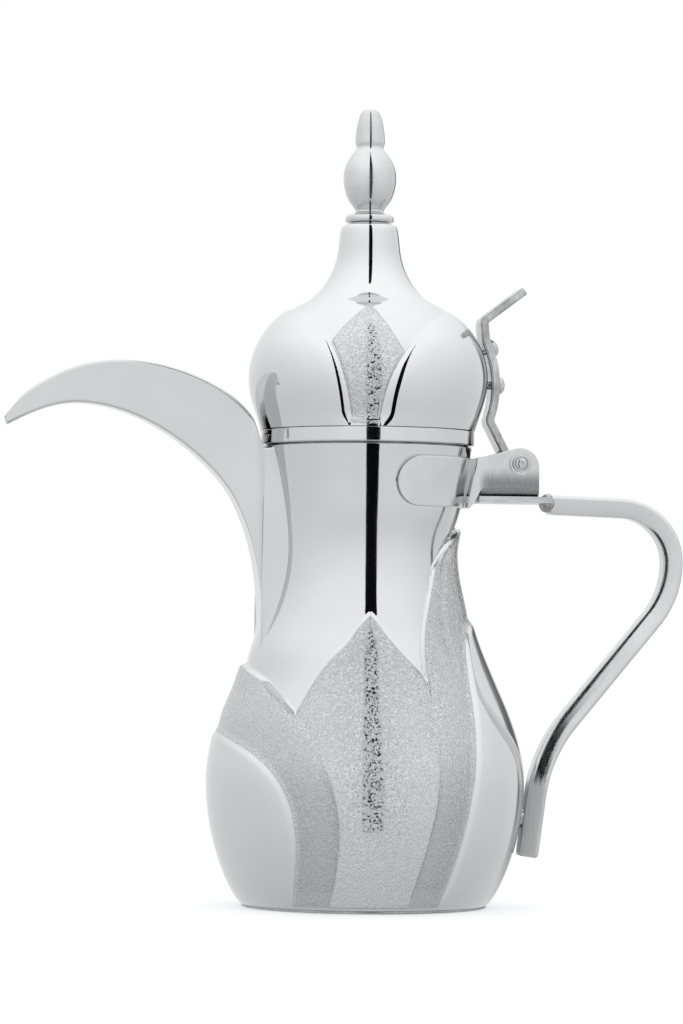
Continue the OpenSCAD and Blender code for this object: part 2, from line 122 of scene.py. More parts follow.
def surface_normals(g, wrap_cols, wrap_rows):
    def along(a, axis, wrap):
        if wrap:
            return np.roll(a, -1, axis) - np.roll(a, 1, axis)
        ext = np.concatenate([a.take([0], axis), a, a.take([-1], axis)], axis)
        n = a.shape[axis]
        return ext.take(range(2, n + 2), axis) - ext.take(range(0, n), axis)
    n = np.cross(along(g, 1, wrap_cols), along(g, 0, wrap_rows))
    size = np.linalg.norm(n, axis=2, keepdims=True)
    bad = size[..., 0] < 1e-9
    n = n / np.maximum(size, 1e-12)
    if bad.any():
        # a pole: borrow the mean normal of the nearest whole row
        for r in np.unique(np.where(bad)[0]):
            near = r - 1 if r == g.shape[0] - 1 else r + 1
            n[r][bad[r]] = n[near].mean(0) / max(1e-9, np.linalg.norm(n[near].mean(0)))
    return n


class Sheets:
    """Grids of points, in millimetres, gathered into one mesh with exact normals."""

    def __init__(self):
        self.co, self.no, self.faces, self.grain, self.count = [], [], [], [], 0

    def grid(self, g, wrap_cols=False, wrap_rows=False, flip=False, normals=None, mask=0.0):
        """Adds a grid. Where normals are given, its faces are turned to agree with them."""
        g = np.asarray(g, float)
        rows, cols = g.shape[:2]
        n = surface_normals(g, wrap_cols, wrap_rows) if normals is None else normals
        n = (-n if flip else n).reshape(-1, 3)
        i = np.arange(rows * cols).reshape(rows, cols)
        if wrap_rows:
            i = np.vstack([i, i[:1]])
        if wrap_cols:
            i = np.hstack([i, i[:, :1]])
        quads = np.stack([i[:-1, :-1], i[:-1, 1:], i[1:, 1:], i[1:, :-1]], -1).reshape(-1, 4)
        co = g.reshape(-1, 3)
        turned = flip
        if normals is not None:
            face = np.cross(co[quads[:, 2]] - co[quads[:, 0]], co[quads[:, 3]] - co[quads[:, 1]])
            turned = (face * n[quads].mean(1)).sum() < 0
        self.co.append(co)
        self.no.append(n)
        self.faces.append((quads[:, ::-1] if turned else quads) + self.count)
        self.grain.append(np.broadcast_to(np.asarray(mask, float), (rows, cols)).reshape(-1))
        self.count += rows * cols

    def lathe(self, profile, segs=128, flip=False, place=None):
        """Turns (radius, height) pairs about Z; outside is to the right of an upward profile."""
        p = np.asarray(profile, float)
        a = np.linspace(0, 2 * math.pi, segs, endpoint=False)
        g = np.stack([p[:, :1] * np.cos(a), p[:, :1] * np.sin(a), np.repeat(p[:, 1:], segs, 1)], -1)
        d = np.vstack([p[1] - p[0], p[2:] - p[:-2], p[-1] - p[-2]])
        d = d / np.maximum(np.linalg.norm(d, axis=1, keepdims=True), 1e-9)
        n = np.stack([d[:, 1:] * np.cos(a), d[:, 1:] * np.sin(a), np.repeat(-d[:, :1], segs, 1)], -1)
        if place is not None:
            m = np.array(place)
            g = g @ m[:3, :3].T + m[:3, 3]
            n = n @ m[:3, :3].T
        self.grid(g, wrap_cols=True, flip=flip, normals=n)

    def build(self, name, material, body, replaces):
        """One mesh that rides with a body and stands for CAD nodes."""
        co, quads = np.vstack(self.co) * MM, np.vstack(self.faces)
        # a corner that lies on the one before it is left out: quads at a pole become triangles
        apart = np.linalg.norm(co[quads] - co[np.roll(quads, 1, 1)], axis=2) > 1e-8
        keep = apart.copy()
        keep[:, 0] = True
        keep[:, 3] &= apart[:, 0]
        whole = keep.sum(1) > 2
        quads, keep = quads[whole], keep[whole]
        sizes = keep.sum(1)
        mesh = bpy.data.meshes.new(name)
        mesh.vertices.add(len(co))
        mesh.vertices.foreach_set("co", co.astype(np.float32).reshape(-1))
        mesh.loops.add(int(sizes.sum()))
        mesh.loops.foreach_set("vertex_index", quads[keep].astype(np.int32))
        mesh.polygons.add(len(sizes))
        mesh.polygons.foreach_set("loop_start", (np.cumsum(sizes) - sizes).astype(np.int32))
        mesh.polygons.foreach_set("use_smooth", np.ones(len(sizes), bool))
        mesh.update(calc_edges=True)
        mesh.validate()
        # the mask attribute: where the steel is etched or brushed, lowered where shade is painted
        grain = mesh.attributes.new("grain", "FLOAT", "POINT")
        grain.data.foreach_set("value", np.concatenate(self.grain).astype(np.float32))
        mesh.normals_split_custom_set_from_vertices(np.vstack(self.no).tolist())
        mesh.materials.append(material)
        obj = bpy.data.objects.new(name, mesh)
        bpy.context.scene.collection.objects.link(obj)
        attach(obj, body)
        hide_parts(*replaces)


def disc_fan(outline):
    """A cap from an outline to its middle, as a grid of two rows."""
    return np.stack([outline, np.broadcast_to(outline.mean(0), outline.shape)])


def rounded_rect(w, h, r, steps=5):
    """Closed section of a bar, w across and h thick, with its normals."""
    pts, nor = [], []
    for sx, sy, a0 in ((1, 1, 0), (-1, 1, 90), (-1, -1, 180), (1, -1, 270)):
        for k in range(steps + 1):
            a = math.radians(a0 + 90 * k / steps)
            nor.append((math.cos(a), math.sin(a)))
            pts.append((sx * (w / 2 - r) + r * nor[-1][0], sy * (h / 2 - r) + r * nor[-1][1]))
    return np.array(pts), np.array(nor)


def handle_section():
    """Half of the handle's section, outwards and across, then its mirror: flat towards the hand,
    flanks that lean in towards it, and a rounded back."""
    half = rounded_line([(-3.65, 0), (-3.65, -3.95), (-2.3, -4.45), (0.5, -5.15), (3.65, -5.75), (3.65, 0)],
                        [0.5, 9.0, 16.0, 1.5], 6)
    half = np.vstack([resample(half, 0.16)[:-1], [[3.65, 0]]])
    d = np.gradient(half, axis=0)
    d[0], d[-1] = (0, -1), (0, 1)
    n = np.stack([d[:, 1], -d[:, 0]], 1)
    n /= np.linalg.norm(n, axis=1, keepdims=True)
    flip = np.array([1.0, -1.0])
    return (np.vstack([half, (half * flip)[-2:0:-1]]), np.vstack([n, (n * flip)[-2:0:-1]]))


def sweep_xz(path, section, normals, sheets, end_round=0.0, start_round=0.0):
    """Sweeps a section (outwards, across) along a path in the XZ plane, with rounded ends. Outwards
    is to the left of the direction of travel."""
    path = np.asarray(path, float)
    d = np.gradient(path, axis=0)
    d /= np.linalg.norm(d, axis=1, keepdims=True)

    def lift(u, v):
        return np.stack([u, 0 * u, v], 1)

    at, along, out = lift(*path.T), lift(*d.T), lift(-d[:, 1], d[:, 0])

    def turned(k, pairs):
        """Pairs (outwards, across) as the path's point k holds them."""
        return out[k] * pairs[:, :1] + np.array([0.0, 1.0, 0.0]) * pairs[:, 1:]

    every = range(len(path))
    sheets.grid([at[k] + turned(k, section) for k in every], wrap_cols=True,
                normals=np.array([turned(k, normals) for k in every]))
    for k, way, r in ((-1, 1, end_round), (0, -1, start_round)):
        rings, ring_normals = [], []
        for a in np.linspace(0, math.pi / 2, 6) if r else (0.0,):
            inset = section - normals * r * (1 - math.cos(a))
            rings.append(at[k] + turned(k, inset) + way * along[k] * r * math.sin(a))
            ring_normals.append(turned(k, normals) * math.cos(a) + way * along[k] * math.sin(a))
        if r:
            sheets.grid(rings, wrap_cols=True, normals=np.array(ring_normals))
        cap = disc_fan(rings[-1])
        sheets.grid(cap, wrap_cols=True, normals=np.broadcast_to(way * along[k], cap.shape))


# ---------------------------------------------------------------- materials

class Graph:
    """Small helper round a node tree."""

    def __init__(self, tree):
        self.tree = tree
        tree.nodes.clear()

    def put(self, node, key, value):
        """Sets or links an input, which is named or numbered."""
        if isinstance(value, bpy.types.Node):
            value = value.outputs[0]
        if isinstance(value, bpy.types.NodeSocket):
            self.tree.links.new(value, node.inputs[key])
        else:
            node.inputs[key].default_value = value

    def add(self, kind, props=None, **inputs):
        node = self.tree.nodes.new("ShaderNode" + kind)
        for key, value in (props or {}).items():
            setattr(node, key, value)
        for key, value in inputs.items():
            self.put(node, key.replace("_", " "), value)
        return node

    def fill(self, kind, props, *values):
        """A node with its first inputs filled in their order."""
        node = self.add(kind, props)
        for i, value in enumerate(values):
            self.put(node, i, value)
        return node

    def math(self, op, *values, clamp=False):
        return self.fill("Math", {"operation": op, "use_clamp": clamp}, *values).outputs[0]

    def plus(self, a, b):
        return self.math("ADD", a, b)

    def times(self, a, b):
        return self.math("MULTIPLY", a, b)

    def fade(self, value, lo, hi, a, b, kind="LINEAR"):
        """a where the value is lo, going over to b where it is hi."""
        return self.fill("MapRange", {"interpolation_type": kind}, value, lo, hi, a, b).outputs[0]

    def noise(self, where, scale, detail, roughness=0.5, distortion=0.0):
        return self.add("TexNoise", Vector=where, Scale=scale, Detail=detail, Roughness=roughness,
                        Distortion=distortion).outputs[0]

    def ramp(self, value, *stops):
        node = self.fill("ValToRGB", None, value)
        elements = node.color_ramp.elements
        while len(elements) > 1:
            elements.remove(elements[-1])
        for i, (position, colour) in enumerate(stops):
            e = elements.new(position) if i else elements[0]
            e.position = position
            e.color = colour
        return node.outputs[0]

    def mix(self, factor, a, b):
        node = self.add("Mix", {"data_type": "RGBA"})
        for i, value in ((0, factor), (6, a), (7, b)):
            self.put(node, i, value)
        return node.outputs[2]


# Reflectance that the tones below are scaled by
STEEL = 0.72


def grey(v, blue=0.012):
    return (v, v + blue * 0.35, v + blue, 1)


def height(g, where):
    return g.add("SeparateXYZ", Vector=where).outputs[2]


def grain_and_shade_mask(g):
    return g.add("Attribute", {"attribute_name": "grain"}).outputs["Fac"]


# Each of the next four gives a layer, which takes a steel's colour, roughness and normal and gives
# them back changed. Heights in them are metres, like the texture's own coordinates.

def brushed(scale, depth, tone, masked=False):
    """Brushing marks. masked keeps them to the mesh's grain-and-shade mask, and paints shade there
    towards the foot of the bracket's cheeks."""
    def layer(g, where, dark, colour, roughness, normal):
        streak = g.noise(g.add("Mapping", Vector=where, Scale=scale), 1.0, 4.0, 0.65)
        marks = g.times(g.ramp(streak, (0.42, grey(0, 0)), (0.62, grey(1, 0))), tone)
        gloss = g.times(streak, 0.16)
        strength = depth
        if masked:
            keep = grain_and_shade_mask(g)
            marks, gloss, strength = g.times(marks, keep), g.times(gloss, keep), g.times(keep, depth)
            # painted shade: darker towards the foot of the cheeks and over the floor, streaked like the
            # brushing
            foot = g.fade(height(g, where), 0.1592, 0.1655, 1.0, 0.0, "SMOOTHSTEP")
            left = g.times(foot, g.times(keep, g.plus(streak, 0.25)))
            colour = g.mix(left, colour, grey(0.12 * STEEL))
        bump = g.add("Bump", Height=streak, Strength=strength, Distance=0.0003, Normal=normal)
        colour = g.mix(marks, colour, grey(max(0.05, dark - 0.3) * STEEL))
        return colour, g.plus(roughness, gloss), bump
    return layer


def pitted(depth, stain):
    """Weld metal: lumps, with stain in between."""
    def layer(g, where, dark, colour, roughness, normal):
        lump = g.add("TexVoronoi", Vector=where, Scale=420.0, Randomness=1.0).outputs[0]
        ripple = g.noise(where, 260.0, 5.0, 0.7)
        bump = g.add("Bump", Height=g.plus(lump, ripple), Strength=depth, Distance=0.0006, Normal=normal)
        colour = g.mix(g.ramp(ripple, (0.42, grey(0)), (0.66, grey(1, 0))), colour, stain)
        return colour, roughness, bump
    return layer


def etched(shaded_tone_above):
    """Frosted grains, with painted highlights on their crowns, on a polished ground where the grain-and-shade
    mask says so.
    A mask below 1 is painted darker as shade; the argument is the painted shade the brightest petals take
    above the belly."""
    def layer(g, where, dark, colour, roughness, normal):
        mask = grain_and_shade_mask(g)
        cell = g.add("TexVoronoi", {"feature": "SMOOTH_F1"}, Vector=where, Scale=1700.0, Smoothness=0.35,
                     Randomness=1.0).outputs[0]
        grains = g.ramp(g.noise(where, 1150.0, 2.0, 0.6, 0.7), (0.455, grey(0, 0)), (0.535, grey(1, 0)))
        crowns = g.times(g.math("SUBTRACT", 1.0, cell), g.times(grains, 0.9))
        full = g.math("MULTIPLY", mask, 1.6, clamp=True)
        bump = g.add("Bump", Height=g.plus(g.times(grains, 0.7), crowns), Strength=g.times(full, 0.55),
                     Distance=0.0003, Normal=normal)
        # painted highlight on the grains' crowns and painted shade at their edges
        frost_with_painted_light = g.mix(grains, grey(0.86 * STEEL), g.mix(cell, grey(1.0 * STEEL, 0), grey(0.72 * STEEL)))
        # painted shade: darker above the belly on the brightest petals, and darker where the mask is below 1
        level = g.fade(height(g, where), 0.035, 0.10, 1.0, shaded_tone_above)
        tone = g.times(g.fade(mask, 0.6, 1.0, 0.74, 1.0), g.fade(mask, 0.85, 1.0, 1.0, level))
        frost_with_painted_light = g.mix(tone, grey(0.0, 0), frost_with_painted_light)
        gloss = g.fade(grains, 0.0, 1.0, 0.09, 0.36)
        return g.mix(full, colour, frost_with_painted_light), g.fade(full, 0.0, 1.0, roughness, gloss), bump
    return layer


def ground(low, high):
    """A ground finish below a height, where the polish stops at a ragged edge."""
    def layer(g, where, dark, colour, roughness, normal):
        marks = g.noise(g.add("Mapping", Vector=where, Scale=(900.0, 900.0, 30.0)), 1.0, 3.0)
        edge = g.plus(height(g, where), g.times(g.math("SUBTRACT", marks, 0.5), 0.012))
        share = g.fade(edge, low, high, 1.0, 0.0, "SMOOTHSTEP")
        roughness = g.plus(roughness, g.times(share, g.fade(marks, 0.0, 1.0, 0.30, 0.52)))
        return g.mix(g.times(share, g.times(marks, 0.35)), colour, grey(0.5 * STEEL)), roughness, normal
    return layer


def metal(name, light, dark, rough, smudge, *layers, hair_depth=0.012):
    """Polished steel, wiped between a light and a dark tone and between two roughnesses."""
    mat = bpy.data.materials.new(name)
    mat.use_nodes = True
    g = Graph(mat.node_tree)
    where = g.add("TexCoord").outputs["Object"]
    # a film in broad soft patches
    film = g.ramp(g.noise(where, smudge, 4.0, 0.55, 0.6), (0.35, grey(0)), (0.68, grey(1, 0)))
    colour = g.mix(film, grey(light * STEEL), grey(dark * STEEL))
    fine = g.math("SUBTRACT", g.noise(where, 520.0, 3.0, 0.6), 0.5)
    roughness = g.plus(g.fade(film, 0.0, 1.0, *rough), g.times(fine, rough[0] * 0.6))
    # hairline polishing marks
    hairs = g.add("Mapping", Vector=where, Scale=(900.0, 900.0, 45.0), Rotation=(0.5, 0.2, 0.0))
    normal = g.add("Bump", Height=g.noise(hairs, 1.0, 2.0), Strength=hair_depth, Distance=0.0002)
    for layer in layers:
        colour, roughness, normal = layer(g, where, dark, colour, roughness, normal)
    bsdf = g.add("BsdfPrincipled", Metallic=1.0, Base_Color=colour, Roughness=roughness, Normal=normal)
    g.put(g.add("OutputMaterial"), "Surface", bsdf)
    return mat


# 0.84: painted shade on the pot's brightest petals above the belly
POT_STEEL = metal("pot_steel", 0.90, 0.86, (0.035, 0.085), 24, etched(0.84))
LID_STEEL = metal("lid_steel", 0.93, 0.89, (0.03, 0.075), 34, etched(1.0))
SPOUT_STEEL = metal("spout_steel", 0.85, 0.81, (0.05, 0.11), 18)
HANDLE_STEEL = metal("handle_steel", 0.88, 0.82, (0.03, 0.06), 60,
                     brushed((1500.0, 1500.0, 60.0), 0.003, 0.06), ground(0.043, 0.052), hair_depth=0.001)
FINIAL_STEEL = metal("finial_steel", 0.88, 0.80, (0.06, 0.16), 90)
LEVER_STEEL = metal("lever_steel", 0.76, 0.50, (0.05, 0.13), 110, brushed((900.0, 1200.0, 160.0), 0.04, 0.3))
BRACKET_STEEL = metal("bracket_steel", 0.88, 0.78, (0.07, 0.15), 50,
                      brushed((4800.0, 4800.0, 260.0), 0.10, 0.30, masked=True))
PLATE_STEEL = metal("plate_steel", 0.80, 0.66, (0.09, 0.2), 50, brushed((160.0, 2600.0, 2600.0), 0.16, 0.35))
PIN_STEEL = metal("pin_steel", 0.80, 0.66, (0.08, 0.2), 160)
SATIN_STEEL = metal("satin_steel", 0.62, 0.50, (0.2, 0.36), 60, brushed((1200.0, 90.0, 1200.0), 0.2, 0.3))
BAND_STEEL = metal("band_steel", 0.90, 0.84, (0.04, 0.1), 44)
INNER_STEEL = metal("inner_steel", 0.72, 0.60, (0.2, 0.36), 40, brushed((140.0, 140.0, 1500.0), 0.22, 0.5))
WELD_STEEL = metal("weld_steel", 0.70, 0.52, (0.16, 0.34), 200, pitted(0.55, (0.34, 0.31, 0.30, 1)))


# ---------------------------------------------------------------- the pot's relief

POT = [
    [(46.5, 1), (51.5, 6), (59.8, 25), (59.8, 47)],
    [(59.8, 47), (59.8, 74), (34.2, 102), (34.2, 134)],
    [(34.2, 134), (34.2, 146), (37, 160.2), (39.5, 172.2)],
]
POT_LINE = np.vstack([cubic(c, np.linspace(0, 1, 160)) for c in POT])
MOUTH_Z = 172.2
LIP_Z = 171.85


def pot_r(z):
    return np.interp(z, POT_LINE[:, 1], POT_LINE[:, 0])


def signed(theta, z, radius, outline):
    """Distance in mm inside (+) or outside (-) a closed outline drawn in (degrees, mm)."""
    o = np.asarray(outline, float)
    a, b = o, np.roll(o, -1, 0)
    k = math.pi / 180
    best = np.full(theta.shape, 1e9)
    inside = np.zeros(theta.shape, bool)
    for (t0, z0), (t1, z1) in zip(a, b):
        ux, uz = (t1 - t0) * k * radius, z1 - z0
        px, pz = (theta - t0) * k * radius, z - z0
        f = np.clip((px * ux + pz * uz) / np.maximum(ux * ux + uz * uz, 1e-9), 0, 1)
        best = np.minimum(best, (px - f * ux) ** 2 + (pz - f * uz) ** 2)
        if z0 != z1:
            cross = (z0 > z) != (z1 > z)
            at = t0 + (z - z0) / (z1 - z0) * (t1 - t0)
            inside ^= cross & (theta < at)
    d = np.sqrt(best)
    return np.where(inside, d, -d)


def arch(edge, centre):
    """A petal symmetric about an angle, from one of its edges, tip first."""
    line = through(edge)
    twin = line[::-1].copy()
    twin[:, 0] = 2 * centre - twin[:, 0]
    return np.vstack([line, twin])


# Petals of the pot, as angles from the front towards the handle and heights.
PETAL_B = arch([(-90, 90.5), (-76, 88.2), (-60, 84.6), (-52, 81), (-44, 77), (-37, 72.2), (-31, 66.8),
                (-26, 60), (-21.5, 52), (-18.3, 43), (-16.8, 34), (-17, 24), (-19, 13), (-22, 4),
                (-26, -8)], -90)
PETAL_C = arch([(-90, 65.5), (-76, 64), (-63, 61), (-54, 58), (-47, 54.3), (-41, 49.3), (-37, 43.5),
                (-34.5, 37), (-33.6, 30), (-34, 22), (-36, 14), (-39, 6), (-45, -8)], -90)
PETAL_D = arch([(90, 142), (78, 140.2), (66, 137), (57, 134), (49, 130.5), (42, 126.5), (36, 119.5),
                (29, 110.3), (24, 101), (21.6, 92), (21.4, 84), (22, 74), (22, 64), (21, 52), (19.8, 40),
                (18.2, 31), (16.4, 21), (14, 10), (10.5, -8)], 90)
PETAL_E = arch([(90, 107), (76, 106.6), (66, 105), (57, 100), (51, 94), (46.5, 86), (43, 77), (40.5, 69),
                (38, 59), (35.5, 47), (34, 39), (32, 27), (30, 16), (28.4, 7), (25.5, -8)], 90)
PETAL_A = np.vstack([
    through([(-5, 109.5), (-9.5, 106), (-17, 98.2), (-26, 91), (-34, 79), (-40, 60), (-42, 30), (-34, -8)]),
    through([(-34, -8), (-34, -8.1), (26, -8.1), (26, -8)], 2),
    through([(26, -8), (31, 30), (31, 60), (26, 78), (20.5, 86), (15.8, 90.7), (11, 95), (4, 101.5),
             (-1, 106.4),
             (-5, 109.5)]),
])
# The crease in the tall textured arch, beside its inner ridge
FOLD_D = arch([(90, 150), (74, 142), (63, 135), (52, 127), (46, 119), (42.5, 112), (42, 105.5), (41.5, 98),
               (42, 88), (45, 76), (52, 60)], 90)


def step(s, height, width, puff=0.0, puff_width=6.0):
    """Height of a raised petal at distance s inside its edge."""
    rise = height * smooth(s, -0.5 * width, 0.5 * width)
    if puff:
        u = np.clip(s / puff_width, 0, 1)
        rise = rise + puff * (1 - (1 - u) ** 2)
    return rise


def cushion(s, height, width):
    """A raised petal with a puffed edge: steep at its foot and level at width inside."""
    u = np.clip(s / width, 0, 1)
    return height * np.sqrt(np.clip(1 - (1 - u) ** 2, 0, 1)) * smooth(s, -0.3, 1.0)


def pot_layers(theta, z):
    """Relief over the plain wall, and how much of it is etched, lowered by painted shade, at |theta| <= 90
    degrees.
    """
    r = pot_r(z) - 1.5
    a = signed(theta, z, r, PETAL_A)
    b = signed(theta, z, r, PETAL_B)
    c = signed(theta, z, r, PETAL_C)
    d = signed(theta, z, r, PETAL_D)
    e = signed(theta, z, r, PETAL_E)
    f = signed(theta, z, r, FOLD_D)
    low = smooth(z, 78, 34)
    h = step(a, 0.9 + 0.7 * low, 1.5, 0.5, 5)
    up_b = smooth(b, -0.6, 0.6)
    h = h * (1 - up_b) + (2.1 - 1.5 * low + step(b, 0.2, 1.4, 0.5, 5)) * up_b
    h = h + (1 - 0.35 * low) * step(c, 1.7, 5.0, 0.5, 9)
    up_d = smooth(d, -0.6, 0.6)
    h = h * (1 - up_d) + (1.6 - 1.1 * low + step(d, 0.2, 1.4, 0.5, 5)) * up_d
    h = h + step(f, 1.0, 3.6) * up_d * smooth(z, 80, 100)
    h = h + step(e, 1.7, 4.2, 0.6, 9)
    # painted shade: the etched share is lowered in the two side petals, most of all low down, so the steel
    # paints them darker
    painted_low_shade = 0.30 * low * np.maximum(up_b * (1 - smooth(c, -2, 0)), up_d) + 0.05 * np.maximum(up_b, up_d)
    etched = np.maximum(np.maximum(smooth(a, 0.1, 0.9), smooth(b, 0.1, 0.9)) * (1 - smooth(c, -0.6, 0.3)),
                        smooth(d, 0.1, 0.9)) * (1 - smooth(e, -0.6, 0.3))
    etched = etched * (1 - smooth(c, -0.6, 0.3))
    return h, etched * smooth(z, 1.6, 2.6) * (1 - painted_low_shade)


def side_level(side):
    """Relief on a silhouette, smoothed along z, which the wall is set back by."""
    z = np.linspace(-10, 190, 401)
    h, _ = pot_layers(np.full(z.shape, side * 89.5), np.clip(z, 1, 190))
    kernel = np.hanning(49)
    kernel /= kernel.sum()
    return z, np.convolve(np.pad(h, 24, "edge"), kernel, "valid")


LEVEL_Z, LEVEL_SPOUT = side_level(-1)
_, LEVEL_HANDLE = side_level(1)


def pot_surface(theta, z):
    """Radius and etched share, with its painted shade, of the pot's outside, for |theta| <= 90 degrees from
    the front.
    """
    h, etched = pot_layers(theta, z)
    s = np.sin(np.radians(theta))
    side = np.where(s < 0, np.interp(z, LEVEL_Z, LEVEL_SPOUT), np.interp(z, LEVEL_Z, LEVEL_HANDLE))
    front = 0.5 * (np.interp(z, LEVEL_Z, LEVEL_SPOUT) + np.interp(z, LEVEL_Z, LEVEL_HANDLE)) * 0.8
    w = smooth(np.abs(s), 0.25, 0.95)
    return pot_r(z) + (h - side * w - front * (1 - w)) * smooth(z, 0.6, 9), etched


def ring_points(radius, theta, z):
    t = np.radians(theta)
    return np.stack([radius * np.sin(t), -radius * np.cos(t), z], -1)


def mirrored_angle(theta):
    """An angle from the front, all the way round, brought to -90..90 by mirroring the back."""
    t = (theta + 180) % 360 - 180
    t = np.where(t > 90, 180 - t, t)
    return np.where(t < -90, -180 - t, t)


def pot_half(name, back):
    """Half of the pot's wall, outside, inside and rim."""
    line = resample(POT_LINE, 0.74)
    line[0, 1] = 1.35
    line[-1, 1] = LIP_Z
    cols = 346
    t_step = 180.0 / (cols - 1)
    theta = np.linspace(-90 - t_step, 90 + t_step, cols + 2)
    tt, zz = np.meshgrid(mirrored_angle(theta), line[:, 1])
    radius, etched = pot_surface(tt, zz)
    place = np.broadcast_to(theta, tt.shape)
    g = ring_points(radius, place, zz)
    n = surface_normals(g, False, False)
    g, n, etched = g[:, 1:-1], n[:, 1:-1], etched[:, 1:-1]
    s = Sheets()
    rows = [(g, n, etched)]

    # inside wall, coarser
    lz = resample(POT_LINE[POT_LINE[:, 1] < 170.5], 2.6)[:, 1]
    lz = np.r_[1.2, lz[lz > 2], 170.8]
    it = np.linspace(-90 - 3, 90 + 3, 63)
    t2, z2 = np.meshgrid(mirrored_angle(it), lz)
    r2, _ = pot_surface(t2, z2)
    gi = ring_points(r2 - SHEET, np.broadcast_to(it, t2.shape), z2)
    ni = -surface_normals(gi, False, False)
    rows.append((gi[:, 1:-1], ni[:, 1:-1], 0.0))

    # rim: a small round lip from outside to inside
    top_r = radius[-1, 1:-1]
    th = theta[1:-1]
    lip = []
    for k in range(7):
        a = math.radians(180 * k / 6)
        z = np.full(th.shape, LIP_Z + 0.35 * math.sin(a))
        lip.append(ring_points(top_r - 0.5 + 0.5 * math.cos(a), th, z))
    lip.append(ring_points(top_r - SHEET, th, np.full(th.shape, 170.4)))
    gl = np.array(lip)
    rows.append((gl, surface_normals(gl, False, False), 0.0))
    # foot: turned in under the belly to the base plate
    low_r = radius[0, 1:-1]
    foot = np.array([ring_points(low_r - d, th, np.full(th.shape, z)) for d, z in
                     ((1.6, 1.4), (1.0, 1.1), (0.25, 1.1), (0.0, 1.35))])
    rows.append((foot, surface_normals(foot, False, False), 0.0))

    mirror = np.array([1.0, -1.0 if back else 1.0, 1.0])
    for gg, nn, mask in rows:
        s.grid(gg * mirror, normals=nn * mirror, mask=mask)
    s.build(name, POT_STEEL, "pot", ["body_shell"])


pot_half("pot_wall_front", False)
pot_half("pot_wall_back", True)


# ---------------------------------------------------------------- the spout

SPOUT_TOP = [
    [(-39.7, 171), (-41.2, 172.2), (-42.2, 178), (-43.9, 182)],
    [(-43.9, 182), (-53, 197), (-86, 209), (-110, 201)],
    [(-110, 201), (-120.5, 197.5), (-130, 191.5), (-136.5, 183.5)],
]
SPOUT_LOW = [
    [(-41.4, 97), (-39.6, 112), (-41, 134), (-51, 152.3)],
    [(-51, 152.3), (-58, 165), (-82, 186.5), (-108, 187.4)],
    [(-108, 187.4), (-118, 187.8), (-127, 183.5), (-135.3, 179)],
]


def box_section(a, w, h):
    """Across and up on a box section with small round corners, at angle a down from the top."""
    r = np.minimum(1.1, 0.42 * np.minimum(w, h))
    turned = np.angle(np.exp(1j * a))
    q = np.abs(turned) / (math.pi / 2)
    below = q > 1
    q = np.where(below, 2 - q, q)
    b = np.clip((q - 0.3) / 0.3, 0, 1) * math.pi / 2
    across = np.where(q < 0.3, q / 0.3 * (w - r), w - r + r * np.sin(b))
    up = np.where(q < 0.6, h - r + r * np.cos(b), (h - r) * (1 - q) / 0.4)
    return across * np.sign(turned), np.where(below, -up, up)


def spout_at(t, a, depth=0.0):
    """Point of the spout's wall at t along it and angle a (radians) down from the top."""
    t, a = np.broadcast_arrays(np.asarray(t, float), np.asarray(a, float))
    flat_t = t.reshape(-1)
    top = chain(SPOUT_TOP, flat_t).reshape(*t.shape, 2)
    low = chain(SPOUT_LOW, flat_t).reshape(*t.shape, 2)
    mid = (top + low) / 2
    gap = np.linalg.norm(top - low, axis=-1)
    half = 3.9 + 8.1 * (1 - t) ** 1.4
    y, up = box_section(a, half - depth, gap / 2 - depth)
    flat = mid + (top - mid) * (up / (gap / 2))[..., None]
    return np.stack([flat[..., 0], y, flat[..., 1]], -1)


def neck_radius(p):
    """Radius of the pot's wall behind a point near the spout."""
    theta = np.degrees(np.arctan2(p[..., 0], -np.abs(p[..., 1])))
    theta = np.clip(-np.abs(theta), -90, 90)
    return pot_surface(theta, np.clip(p[..., 2], 1, MOUTH_Z))[0]


